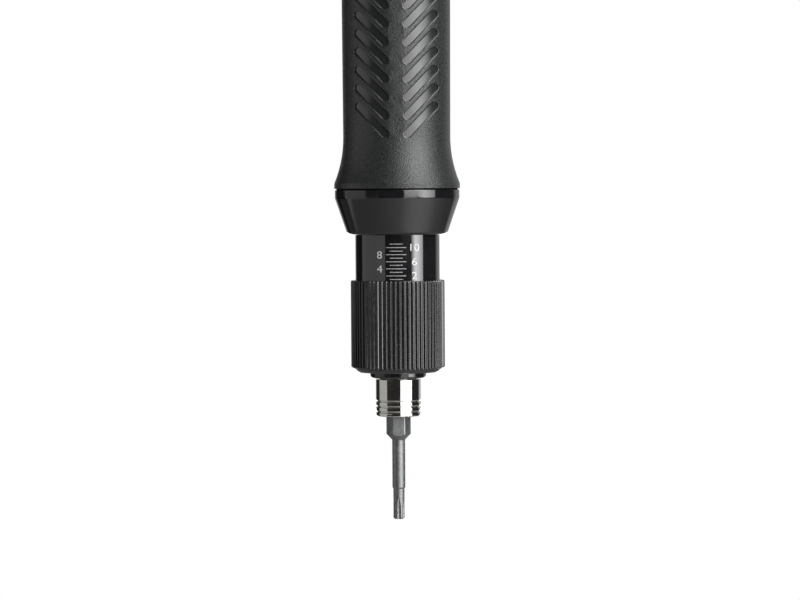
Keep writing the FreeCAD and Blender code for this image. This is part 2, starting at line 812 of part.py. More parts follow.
def make_nose_ring():
    mouth = nose_mouth_diameter / 2
    top = nose_top_diameter / 2
    cone_top = nose_top - nose_band
    lean = (top - mouth) / (cone_top - nose_bottom)
    tangent = nose_round * math.tan((math.pi / 2 - math.atan(lean)) / 2)
    up = tangent / math.hypot(1, lean)
    centre_r = mouth - tangent
    centre_z = nose_bottom + nose_round
    bisector = (math.pi / 2 + math.atan(lean)) / 2
    barrel = scale_diameter / 2 + run_gap
    pocket = barrel_flange_diameter / 2 + run_gap
    spigot = spigot_diameter / 2 + run_gap
    return turned([
        (barrel, nose_bottom), (centre_r, nose_bottom),
        ((centre_r + nose_round * math.cos(bisector), centre_z - nose_round * math.sin(bisector)),
         (mouth + lean * up, nose_bottom + up)),
        (top, cone_top), (top, nose_top - nose_edge), (top - nose_edge, nose_top), (spigot, nose_top),
        (spigot, spigot_bottom), (pocket, spigot_bottom), (pocket, flange_bottom), (barrel, flange_bottom)])


def make_gear_case():
    inner_tip = ring_pitch_radius - tooth_addendum * gear_module
    inner_root = ring_pitch_radius + tooth_dedendum * gear_module
    body = cylinder(gear_case_diameter, flange_top, motor_bottom)
    teeth = gear(ring_teeth, inner_root, inner_tip, -backlash, carrier_two_top, motor_bottom)
    entry = cylinder(2 * inner_tip, flange_top, carrier_two_top)
    return cut_all(body, [teeth, entry])


# Planet on the first arm of a stage, ready to be spun to the others.
def make_planet(bottom):
    planet = outer_gear(planet_teeth, bottom, bottom + planet_width)
    planet = planet.cut(cylinder(planet_pin_diameter + 2 * run_gap, bottom, bottom + planet_width))
    planet.translate(V(planet_orbit, 0, 0))
    return planet


def carrier_plate(bottom):
    plate = cylinder(carrier_diameter, bottom, bottom + carrier_thickness)
    hole = bar(planet_pin_diameter + 2 * press_gap, V(planet_orbit, 0, bottom), axis_z, carrier_thickness)
    return cut_all(plate, spun(hole, planet_count))


def make_carrier_pins(bottom, top):
    pin = bar(planet_pin_diameter, V(planet_orbit, 0, bottom), axis_z, top - bottom)
    return Part.makeCompound(spun(pin, planet_count))


# First carrier in one piece with the second stage's sun gear.
def make_first_carrier():
    sun = sun_gear(carrier_two_top + stage_gap, carrier_one_bottom)
    return joined([carrier_plate(carrier_one_bottom), sun])


def make_second_carrier():
    hub = cylinder(bearing_bore - 2 * run_gap + 2 * press_gap, carrier_two_bottom, carrier_two_top)
    return carrier_plate(carrier_two_bottom).cut(hub)


def make_motor_pinion():
    bottom = carrier_one_top + stage_gap
    top = motor_bottom - end_gap
    return sun_gear(bottom, top).cut(cylinder(rotor_shaft_diameter + 2 * press_gap, bottom, top))


def make_rotor_shaft():
    return cylinder(rotor_shaft_diameter, carrier_one_top + stage_gap, rear_bell_top + shaft_tail)


def make_rotor_magnet():
    return tube(magnet_diameter, rotor_shaft_diameter + 2 * press_gap, magnet_bottom, magnet_top)


# End bell with its bearing pocket towards the can.
def end_bell(bottom, top, pocket_bottom, pocket_top):
    bell = cylinder(motor_diameter, bottom, top)
    pocket = cylinder(motor_bearing_diameter + 2 * press_gap, pocket_bottom, pocket_top)
    passage = cylinder(motor_bearing_diameter - 2 * bearing_lip, bottom, top)
    return cut_all(bell, [pocket, passage])


def make_motor_front_bell():
    return end_bell(motor_bottom, can_bottom, can_bottom - motor_bearing_width, can_bottom)


def make_motor_rear_bell():
    bell = end_bell(can_top, rear_bell_top, can_top, can_top + motor_bearing_width)
    post = bar(post_diameter, V(post_circle / 2, 0, rear_bell_top), axis_z, sensor_board_height)
    return joined([bell] + spun(post, post_count))


def make_motor_bearings():
    bore = rotor_shaft_diameter + 2 * run_gap
    front = tube(motor_bearing_diameter, bore, can_bottom - motor_bearing_width, can_bottom)
    rear = tube(motor_bearing_diameter, bore, can_top, can_top + motor_bearing_width)
    return Part.makeCompound([front, rear])


def make_motor_can():
    return tube(motor_diameter, motor_diameter - 2 * can_wall, can_bottom, can_top)


def stator_slots_at(bottom, top, gap):
    inner = stator_bore / 2 + pole_tip
    slot = block(V(inner + gap, -slot_width / 2 + gap, bottom),
                 V(inner + slot_depth - gap, slot_width / 2 - gap, top))
    return spun(slot, stator_slots)


def make_stator_core():
    core = tube(stator_diameter, stator_bore, stator_bottom, stator_top)
    return cut_all(core, stator_slots_at(stator_bottom, stator_top, 0.0))


# Copper: a bundle of end turns at each end, joined through the slots.
def make_stator_windings():
    inner = stator_bore + 2 * pole_tip
    outer = inner + 2 * slot_depth
    low = tube(outer - 2 * press_gap, inner + 2 * press_gap, stator_bottom - winding_height, stator_bottom)
    high = tube(outer - 2 * press_gap, inner + 2 * press_gap, stator_top, stator_top + winding_height)
    bars = stator_slots_at(stator_bottom, stator_top, press_gap)
    return joined([low, high] + bars)


def make_sensor_board():
    return tube(sensor_board_diameter, sensor_board_hole, sensor_board_bottom, sensor_board_top)


# Whole grip as one turned solid, shrunk by a skin thickness.
def grip_solid(skin):
    rim = rim_diameter / 2 - skin
    waist_r = waist_diameter / 2 - skin
    top_r = grip_top_diameter / 2 - skin
    dome = dome_diameter / 2 - skin
    flare_radius = (flare_length ** 2 + flare_depth ** 2) / (2 * flare_depth)
    half_way = flare_length / 2
    flare_middle = waist_r + flare_radius - math.sqrt(flare_radius ** 2 - half_way ** 2)
    drop = top_r - dome
    slant = math.sin(math.radians(45))
    dome_middle = (dome + drop * slant, band_top + dome_length * slant)
    return turned([
        (0, nose_top), (rim, nose_top), (rim, rim_top),
        ((flare_middle, rim_top + half_way), (waist_r, waist)),
        (top_r, band_bottom), (top_r, band_top), (dome_middle, (dome, dome_top)), (0, dome_top)])


def grip_hollow():
    pocket = gear_pocket_diameter / 2
    bore = grip_bore_radius
    ledge = cap_flange_diameter / 2 - cap_skirt
    cap = cap_diameter / 2 + run_gap
    return turned([
        (0, spigot_bottom), (pocket, spigot_bottom), (pocket, motor_bottom), (bore, motor_bottom),
        (bore, ledge_bottom), (ledge, ledge_bottom), (ledge, ledge_top),
        (bore, ledge_top), (bore, band_top), (cap, band_top), (cap, dome_top),
        (0, dome_top)])


# Slots of the grip pattern on the front, seen along Y, as cutters that stop at the pocket floor.
def chevron_cutters():
    half = chevron_width / 2
    run = V(chevron_outer - chevron_inner, 0, chevron_rise)
    side = V(-run.z, 0, run.x).normalize().multiply(half)
    cap_way = V(run).normalize().multiply(half)
    cutters = []
    for row in range(chevron_rows):
        low = waist - chevron_drop + half + row * chevron_pitch
        for sign in (-1, 1):
            a = V(chevron_inner, 0, low)
            b = a.add(run)
            corners = [a.add(side), a.sub(cap_way), a.sub(side), b.sub(side), b.add(cap_way), b.add(side)]
            corners = [V(sign * p.x, -rim_diameter, p.z) for p in corners]
            edges = [
                Part.Arc(corners[0], corners[1], corners[2]).toShape(),
                Part.LineSegment(corners[2], corners[3]).toShape(),
                Part.Arc(corners[3], corners[4], corners[5]).toShape(),
                Part.LineSegment(corners[5], corners[0]).toShape()]
            slot = Part.Face(Part.Wire(edges)).extrude(V(0, rim_diameter, 0))
            cutters.append(slot)
    floor = grip_solid(chevron_depth)
    return Part.makeCompound(cutters).cut(floor)


def boss_places():
    places = []
    for z in (lower_boss_z, upper_boss_z):
        for side in (-1, 1):
            places.append((side * boss_offset, z))
    return places


def screw_seat(x, z):
    surface = math.sqrt(grip_radius(z) ** 2 - x ** 2)
    return surface - screw_recess


# All four screws are alike, long enough for the lower pair.
def screw_length():
    return screw_seat(boss_offset, lower_boss_z) + screw_bite


# Front half of the grip with its bosses; the back half is the same one turned round.
def half_shell():
    solid = grip_solid(0.0)
    spigot = cylinder(spigot_diameter, spigot_bottom, nose_top)
    skin = solid.fuse(spigot).cut(grip_hollow())
    slab = block(V(-rim_diameter, -seam_width / 2, nose_top), V(rim_diameter, seam_width / 2, dome_top))
    skin = skin.cut(slab.cut(grip_solid(seam_depth)))
    bosses = []
    for x, z in boss_places():
        boss = bar(boss_diameter, V(x, 0, z), V(0, -1, 0), grip_bore_radius)
        bosses.append(boss.common(solid))
    shell = joined([skin] + bosses)
    half = block(V(-rim_diameter, -rim_diameter, spigot_bottom), V(rim_diameter, 0, dome_top))
    return shell.common(half).cut(chevron_cutters())


def make_front_shell(half):
    lugs = []
    for side in (-1, 1):
        near = side * (lever_width / 2 + end_gap)
        far = near + side * lug_width
        low = V(min(near, far), -lever_pin_depth - lug_depth / 2, lever_pin_z - lug_height / 2)
        lug = block(low, low.add(V(lug_width, lug_depth, lug_height)))
        lugs.append(lug.common(grip_solid(seam_depth)))
    shell = joined([half] + lugs)
    reach = grip_radius(lever_tip_z) + lever_rise - lever_pin_depth
    tip_drop = reach * math.sin(math.radians(lever_angle))
    slot_half = lever_width / 2 + end_gap
    slot_top = lever_pin_z + lever_eye_diameter / 2 + end_gap
    slot = block(V(-slot_half, -rim_diameter, lever_tip_z - tip_drop - end_gap),
                 V(slot_half, -lever_pin_depth + lug_depth, slot_top))
    pin_start = V(-lever_pin_length / 2, -lever_pin_depth, lever_pin_z)
    pin_hole = bar(lever_pin_diameter + 2 * press_gap, pin_start, axis_x, lever_pin_length)
    screw_holes = []
    for x, z in boss_places():
        depth = screw_length() - screw_seat(x, z)
        screw_holes.append(bar(screw_diameter + 2 * press_gap, V(x, -depth, z), axis_y, depth))
    return cut_all(shell, [slot, pin_hole] + screw_holes)


def make_back_shell(half):
    shell = half.copy()
    shell.rotate(centre, axis_z, 180)
    pad = block(V(-pad_width / 2, pad_depth - pad_thickness, pad_z - pad_length / 2),
                V(pad_width / 2, pad_depth, pad_z + pad_length / 2))
    flat = block(V(-pad_width / 2, pad_depth, pad_z - pad_length / 2),
                 V(pad_width / 2, rim_diameter, pad_z + pad_length / 2))
    stem = knob_stem_width / 2 + loose_gap
    window = block(V(-stem, 0, pad_z - knob_travel - stem),
                   V(stem, rim_diameter, pad_z + knob_travel + stem))
    shell = joined([shell, pad])
    holes = []
    for x, z in boss_places():
        seat = screw_seat(x, z)
        holes.append(bar(screw_diameter + 2 * loose_gap, V(x, 0, z), axis_y, rim_diameter))
        holes.append(bar(screw_head_diameter + 2 * loose_gap, V(x, seat, z), axis_y, rim_diameter))
    return cut_all(shell, [flat, window] + holes)


def make_shell_screws():
    screws = []
    for x, z in boss_places():
        seat = screw_seat(x, z)
        shank = bar(screw_diameter, V(x, seat - screw_length(), z), axis_y, screw_length())
        head = bar(screw_head_diameter, V(x, seat, z), axis_y, screw_head_height)
        top = seat + screw_head_height
        long = screw_slot_length / 2
        narrow = screw_slot_width / 2
        slots = []
        for wide, tall in ((long, narrow), (narrow, long)):
            low = V(x - wide, top - screw_slot_depth, z - tall)
            slots.append(block(low, V(x + wide, top, z + tall)))
        screws.append(cut_all(joined([shank, head]), slots))
    return Part.makeCompound(screws)


# Lever seen from the side: eye on the pin, shank through the grip, finger pad with a round tip.
def make_start_lever():
    eye = lever_eye_diameter / 2
    face = -lever_face
    surface_top = -grip_radius(lever_pin_z) + lever_edge
    surface_tip = -grip_radius(lever_tip_z) - lever_rise
    shank = -grip_radius(lever_tip_z) + lever_shank
    switch_low = start_z - plunger_diameter - lever_edge
    tip_centre_z = lever_tip_z + lever_tip_round
    slant = lever_tip_round * math.sin(math.radians(45))
    tip_middle = (surface_tip + lever_tip_round - slant, tip_centre_z - slant)
    profile = [
        (face, lever_pin_z), (surface_top, lever_pin_z + eye), (surface_tip, tip_centre_z),
        (tip_middle, (surface_tip + lever_tip_round, lever_tip_z)),
        (shank, lever_tip_z), (shank, switch_low - lever_shank), (face, switch_low)]
    wire = closed_wire(profile, lambda p: V(-lever_width / 2, p[0], p[1]))
    body = Part.Face(wire).extrude(V(lever_width, 0, 0))
    rounded = []
    for edge in body.Edges:
        box = edge.BoundBox
        outside = box.YMax < surface_top + lever_edge / 2 or box.YMin < surface_tip + lever_edge / 2
        if box.XLength < lever_edge and outside:
            rounded.append(edge)
    body = body.makeFillet(lever_edge, rounded)
    pin_start = V(-lever_width / 2, -lever_pin_depth, lever_pin_z)
    hub = bar(lever_eye_diameter, pin_start, axis_x, lever_width)
    bore = bar(lever_pin_diameter + 2 * run_gap, pin_start, axis_x, lever_width)
    return joined([body, hub]).cut(bore)


def make_lever_pin():
    start = V(-lever_pin_length / 2, -lever_pin_depth, lever_pin_z)
    return bar(lever_pin_diameter, start, axis_x, lever_pin_length)


def make_start_switch():
    half = start_switch_width / 2
    body = block(V(-half, -start_switch_face, start_z - start_switch_length / 2),
                 V(half, board_front, start_z + start_switch_length / 2))
    travel = start_reach * math.radians(lever_angle)
    deep = plunger_length - plunger_show + travel + loose_gap
    well = bar(plunger_diameter + 2 * run_gap, V(0, -start_switch_face, start_z), axis_y, deep)
    return body.cut(well)


def make_switch_plunger():
    tip = V(0, -lever_face + run_gap, start_z)
    shoulder = tip.add(V(0, plunger_nose, 0))
    radius = plunger_diameter / 2
    nose = Part.makeCone(radius - plunger_nose, radius, plunger_nose, tip, axis_y)
    return joined([nose, bar(plunger_diameter, shoulder, axis_y, plunger_length - plunger_nose)])


def make_direction_knob():
    bottom = pad_depth + knob_lift
    half = knob_width / 2
    plate = block(V(-half, bottom, pad_z - knob_length / 2),
                  V(half, bottom + knob_thickness, pad_z + knob_length / 2))
    stem = block(V(-knob_stem_width / 2, bottom - knob_stem_depth, pad_z - knob_stem_width / 2),
                 V(knob_stem_width / 2, bottom, pad_z + knob_stem_width / 2))
    pieces = [plate, stem]
    top = bottom + knob_thickness
    rib = knob_length / (2 * knob_rib_count)
    for i in range(knob_rib_count):
        low = pad_z - knob_length / 2 + rib / 2 + 2 * i * rib
        pieces.append(block(V(-half, top, low), V(half, top + knob_rib, low + rib)))
    return joined(pieces)


def make_direction_switch():
    top = pad_depth - pad_thickness - loose_gap
    half = direction_switch_width / 2
    body = block(V(-half, board_back, pad_z - direction_switch_length / 2),
                 V(half, top, pad_z + direction_switch_length / 2))
    stem = knob_stem_width / 2 + loose_gap
    floor = pad_depth + knob_lift - knob_stem_depth - loose_gap
    window = block(V(-stem, floor, pad_z - knob_travel - stem), V(stem, top, pad_z + knob_travel + stem))
    return body.cut(window)


def make_control_board():
    half = math.sqrt(grip_bore_radius ** 2 - board_back ** 2) - loose_gap
    board = block(V(-half, board_front, board_bottom), V(half, board_back, board_top))
    notches = []
    for x, z in boss_places():
        notches.append(bar(boss_diameter + 2 * loose_gap, V(x, board_front, z), axis_y, board_thickness))
    return cut_all(board, notches)


# Power transistors on the back of the board and two capacitors on the front.
def make_board_components():
    parts = []
    for side in (-1, 1):
        start = V(side * capacitor_offset, board_front, board_bottom + capacitor_start)
        parts.append(bar(capacitor_diameter, start, V(0, -1, 0), capacitor_height))
        for row in range(chip_rows):
            z = board_bottom + chip_start + row * chip_pitch
            low = V(side * chip_offset - chip_width / 2, board_back, z)
            parts.append(block(low, low.add(V(chip_width, chip_height, chip_length))))
    return Part.makeCompound(parts)


# Three motor leads from the sensor board to the back of the control board.
def make_motor_leads():
    leads = []
    for i in range(-1, 2):
        x = i * motor_lead_spread
        y = motor_lead_offset
        turn = board_bottom + motor_lead_rise
        points = [V(x, y, sensor_board_top), V(x, y, turn), V(x, board_back, turn)]
        leads.append(bent_tube(wire_diameter, points, motor_lead_bend))
    return Part.makeCompound(leads)


def pin_places():
    places = []
    for angle in pin_angles:
        turn = math.radians(angle)
        places.append((pin_circle / 2 * math.cos(turn), pin_circle / 2 * math.sin(turn)))
    return places


# Supply leads from the connector's pins down to both faces of the control board.
def make_supply_leads():
    start = well_floor - connector_insert - pin_tail
    turn = board_top - supply_lead_drop
    leads = []
    for x, y in pin_places():
        face = board_back if y > 0 else board_front
        points = [V(x, y, start), V(x, y, turn), V(x, face, turn)]
        leads.append(bent_tube(wire_diameter, points, supply_lead_bend))
    return Part.makeCompound(leads)


def make_top_cap():
    outer = cap_diameter / 2
    flange = cap_flange_diameter / 2
    skirt = flange - cap_skirt
    bore = connector_diameter / 2 + press_gap
    cap = turned([
        (skirt, cap_flange_bottom), (flange, cap_flange_bottom), (flange, cap_flange_top),
        (outer, cap_flange_top), (outer, cap_top - cap_edge), (outer - cap_edge, cap_top), (bore, cap_top),
        (bore, nut_top), (skirt, nut_top)])
    holes = []
    for side in (-1, 1):
        inner_end = V(side * (cap_diameter / 2 - bail_depth), 0, bail_axis)
        holes.append(bar(bail_wire + 2 * run_gap, inner_end, V(side, 0, 0), 2 * bail_depth))
    return cut_all(cap, holes)


def make_connector_socket():
    outer = connector_diameter / 2
    flange = connector_flange_diameter / 2
    bore = connector_bore / 2
    shoulder = bore - connector_shoulder
    bottom = nut_top - nut_thickness
    insert_bottom = well_floor - connector_insert
    return turned([
        (shoulder, bottom), (outer, bottom), (outer, cap_top), (flange, cap_top),
        (flange, cap_top + connector_flange_thickness), (outer, cap_top + connector_flange_thickness),
        (outer, connector_top), (bore, connector_top), (bore, insert_bottom), (shoulder, insert_bottom)])


def make_connector_insert():
    body = cylinder(connector_bore - 2 * press_gap, well_floor - connector_insert, well_floor)
    holes = []
    for x, y in pin_places():
        start = V(x, y, well_floor - connector_insert)
        holes.append(bar(pin_diameter + 2 * press_gap, start, axis_z, connector_insert))
    return cut_all(body, holes)


def make_connector_pins():
    pins = []
    for x, y in pin_places():
        start = V(x, y, well_floor - connector_insert - pin_tail)
        pins.append(bar(pin_diameter, start, axis_z, pin_tail + connector_insert + pin_rise))
    return Part.makeCompound(pins)


def make_connector_nut():
    bottom = nut_top - nut_thickness
    ring = tube(nut_diameter, connector_diameter + 2 * press_gap, bottom, nut_top)
    outer = nut_diameter / 2
    half = nut_slot_width / 2
    slot = block(V(outer - nut_slot_depth, -half, bottom), V(outer, half, nut_top))
    return cut_all(ring, spun(slot, nut_slot_count))


# Wire bail: ends in the cap, legs beside it, half circle over the connector.
def make_bail():
    half = bail_half_width
    end = cap_diameter / 2
    low = bail_axis
    knee = low + bail_bend
    leg_top = knee + bail_straight
    slant = bail_bend * math.sin(math.radians(45))

    def bend_edges(side):
        middle = V(side * (end + slant), 0, knee - slant)
        tip = V(side * (end - bail_depth + loose_gap), 0, low)
        return [
            Part.LineSegment(tip, V(side * end, 0, low)).toShape(),
            Part.Arc(V(side * end, 0, low), middle, V(side * half, 0, knee)).toShape(),
            Part.LineSegment(V(side * half, 0, knee), V(side * half, 0, leg_top)).toShape()]

    arch = Part.Arc(V(half, 0, leg_top), V(0, 0, leg_top + half), V(-half, 0, leg_top)).toShape()
    path = Part.Wire(bend_edges(1) + [arch] + bend_edges(-1)[::-1])
    start = V(end - bail_depth + loose_gap, 0, low)
    section = Part.Wire(Part.makeCircle(bail_wire / 2, start, axis_x))
    return path.makePipeShell([section], True, False)


def all_pieces():
    half = half_shell()
    pieces = {
        "bit": make_bit(),
        "spindle": make_spindle(),
        "chuck_balls": make_chuck_balls(),
        "chuck_clip": make_chuck_clip(),
        "chuck_washer": make_chuck_washer(),
        "sleeve_spring": make_sleeve_spring(),
        "chuck_sleeve": make_chuck_sleeve(),
        "ring_bush": make_ring_bush(),
        "torque_ring": make_torque_ring(),
        "spring_seat": make_spring_seat(),
        "clutch_spring": make_clutch_spring(),
        "clutch_balls": make_clutch_balls(),
        "lower_cam": make_lower_cam(),
        "upper_cam": make_upper_cam(),
        "output_bearing": make_output_bearing(),
        "scale_barrel": make_scale_barrel(),
        "nose_ring": make_nose_ring(),
        "gear_case": make_gear_case(),
        "second_carrier": make_second_carrier(),
        "second_carrier_pins": make_carrier_pins(carrier_two_bottom, planets_two_top),
        "first_carrier": make_first_carrier(),
        "first_carrier_pins": make_carrier_pins(carrier_one_bottom, planets_one_top),
        "motor_pinion": make_motor_pinion(),
        "rotor_shaft": make_rotor_shaft(),
        "rotor_magnet": make_rotor_magnet(),
        "motor_front_bell": make_motor_front_bell(),
        "motor_rear_bell": make_motor_rear_bell(),
        "motor_bearings": make_motor_bearings(),
        "motor_can": make_motor_can(),
        "stator_core": make_stator_core(),
        "stator_windings": make_stator_windings(),
        "sensor_board": make_sensor_board(),
        "front_shell": make_front_shell(half),
        "back_shell": make_back_shell(half),
        "shell_screws": make_shell_screws(),
        "start_lever": make_start_lever(),
        "lever_pin": make_lever_pin(),
        "start_switch": make_start_switch(),
        "switch_plunger": make_switch_plunger(),
        "direction_knob": make_direction_knob(),
        "direction_switch": make_direction_switch(),
        "control_board": make_control_board(),
        "board_components": make_board_components(),
        "motor_leads": make_motor_leads(),
        "supply_leads": make_supply_leads(),
        "top_cap": make_top_cap(),
        "connector_socket": make_connector_socket(),
        "connector_insert": make_connector_insert(),
        "connector_pins": make_connector_pins(),
        "connector_nut": make_connector_nut(),
        "bail": make_bail(),
    }
    for stage, bottom in (("first", planets_one_bottom), ("second", planets_two_bottom)):
        for i, planet in enumerate(spun(make_planet(bottom), planet_count)):
            pieces[f"{stage}_planet_{i + 1}"] = planet
    return pieces


os.makedirs("parts", exist_ok=True)
for name, shape in all_pieces().items():
    solids = shape.Solids
    volume = sum(s.Volume for s in solids)
    print(f"{name}: {len(solids)} solid(s), {volume:.1f} mm3, valid {shape.isValid()}")
    shape = solids[0] if len(solids) == 1 else Part.makeCompound(solids)
    shape.exportStep(os.path.join("parts", name + ".step"))
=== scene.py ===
import bpy
import bmesh
import json
import math
from mathutils import Matrix, Vector


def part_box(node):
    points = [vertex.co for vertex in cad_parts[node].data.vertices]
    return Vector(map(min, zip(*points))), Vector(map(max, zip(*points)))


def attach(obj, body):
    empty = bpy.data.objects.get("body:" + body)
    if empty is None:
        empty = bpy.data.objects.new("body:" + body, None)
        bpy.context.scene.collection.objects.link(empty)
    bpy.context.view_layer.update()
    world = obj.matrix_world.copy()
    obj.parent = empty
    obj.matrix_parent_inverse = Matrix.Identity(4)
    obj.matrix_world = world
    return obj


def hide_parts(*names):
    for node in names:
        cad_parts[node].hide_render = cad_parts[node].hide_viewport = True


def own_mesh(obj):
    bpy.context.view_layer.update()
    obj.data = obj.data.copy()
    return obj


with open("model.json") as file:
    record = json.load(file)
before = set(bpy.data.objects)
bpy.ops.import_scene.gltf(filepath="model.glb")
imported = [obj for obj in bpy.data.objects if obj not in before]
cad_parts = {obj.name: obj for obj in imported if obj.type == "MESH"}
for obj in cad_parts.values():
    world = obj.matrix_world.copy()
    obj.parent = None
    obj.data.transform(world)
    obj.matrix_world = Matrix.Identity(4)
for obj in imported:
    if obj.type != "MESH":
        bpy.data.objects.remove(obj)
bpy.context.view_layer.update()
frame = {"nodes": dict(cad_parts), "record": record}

nodes = frame["nodes"]
mm = 0.001        # sizes are in millimetres, meshes in metres
print("frame loaded:", len(nodes), "nodes")


# node helpers, so that a finish reads as a short recipe
def addNode(tree, kind, **values):
    node = tree.nodes.new("ShaderNode" + kind)
    for socket, value in values.items():
        node.inputs[socket.replace("_", " ")].default_value = value
    return node


def join(tree, source, output, target, socket):
    tree.links.new(source.outputs[output], target.inputs[socket])


def addNoise(tree, coord, scale, detail=2.0, stretch=None):
    noise = addNode(tree, "TexNoise", Scale=scale, Detail=detail)
    if stretch:
        mapping = addNode(tree, "Mapping")
        mapping.inputs["Scale"].default_value = stretch
        join(tree, coord, "Object", mapping, "Vector")
        join(tree, mapping, "Vector", noise, "Vector")
    else:
        join(tree, coord, "Object", noise, "Vector")
    return noise


def addRange(tree, source, output, low, high, newLow, newHigh):
    mapRange = addNode(tree, "MapRange", From_Min=low, From_Max=high, To_Min=newLow, To_Max=newHigh)
    join(tree, source, output, mapRange, "Value")
    return mapRange


# a colour Mix has its colours in inputs 6 and 7, and its result in output 2
def addMix(tree, low, high):
    mix = tree.nodes.new("ShaderNodeMix")
    mix.data_type = "RGBA"
    mix.inputs[6].default_value = (*low, 1.0)
    mix.inputs[7].default_value = (*high, 1.0)
    return mix


mottleRange = (0.3, 0.7)        # most of a noise texture's values lie between these


# one finish: two close colours, a roughness range, grain or turned lines, a soft edge
def makeFinish(name, look):
    material = bpy.data.materials.new(name)
    material.use_nodes = True
    tree = material.node_tree
    shader = tree.nodes["Principled BSDF"]
    shader.inputs["Metallic"].default_value = look.get("metallic", 0.0)
    shader.inputs["Specular IOR Level"].default_value = look.get("specular", 0.5)
    shader.inputs["IOR"].default_value = look.get("ior", 1.5)
    coord = tree.nodes.new("ShaderNodeTexCoord")
    mottle = addNoise(tree, coord, look.get("mottle", 300.0), 3.0)
    spread = addRange(tree, mottle, "Fac", *mottleRange, 0.0, 1.0)
    colour = addMix(tree, look["dark"], look["light"])
    join(tree, spread, "Result", colour, 0)
    tree.links.new(colour.outputs[2], shader.inputs["Base Color"])
    rough = addRange(tree, mottle, "Fac", *mottleRange, *look["rough"])
    join(tree, rough, "Result", shader, "Roughness")
    normal = None
    if look.get("edge"):
        normal = addNode(tree, "Bevel", Radius=look["edge"] * mm)
        normal.samples = 4
    for scale, depth, stretch in look.get("bumps", ()):
        height = addNoise(tree, coord, scale, 2.0, stretch)
        bump = addNode(tree, "Bump", Strength=1.0, Distance=depth * mm)
        join(tree, height, "Fac", bump, "Height")
        if normal:
            join(tree, normal, "Normal", bump, "Normal")
        normal = bump
    if normal:
        join(tree, normal, "Normal", shader, "Normal")
    return material


turned = (0.02, 0.02, 1.0)        # squeezes noise into rings round the tool's axis

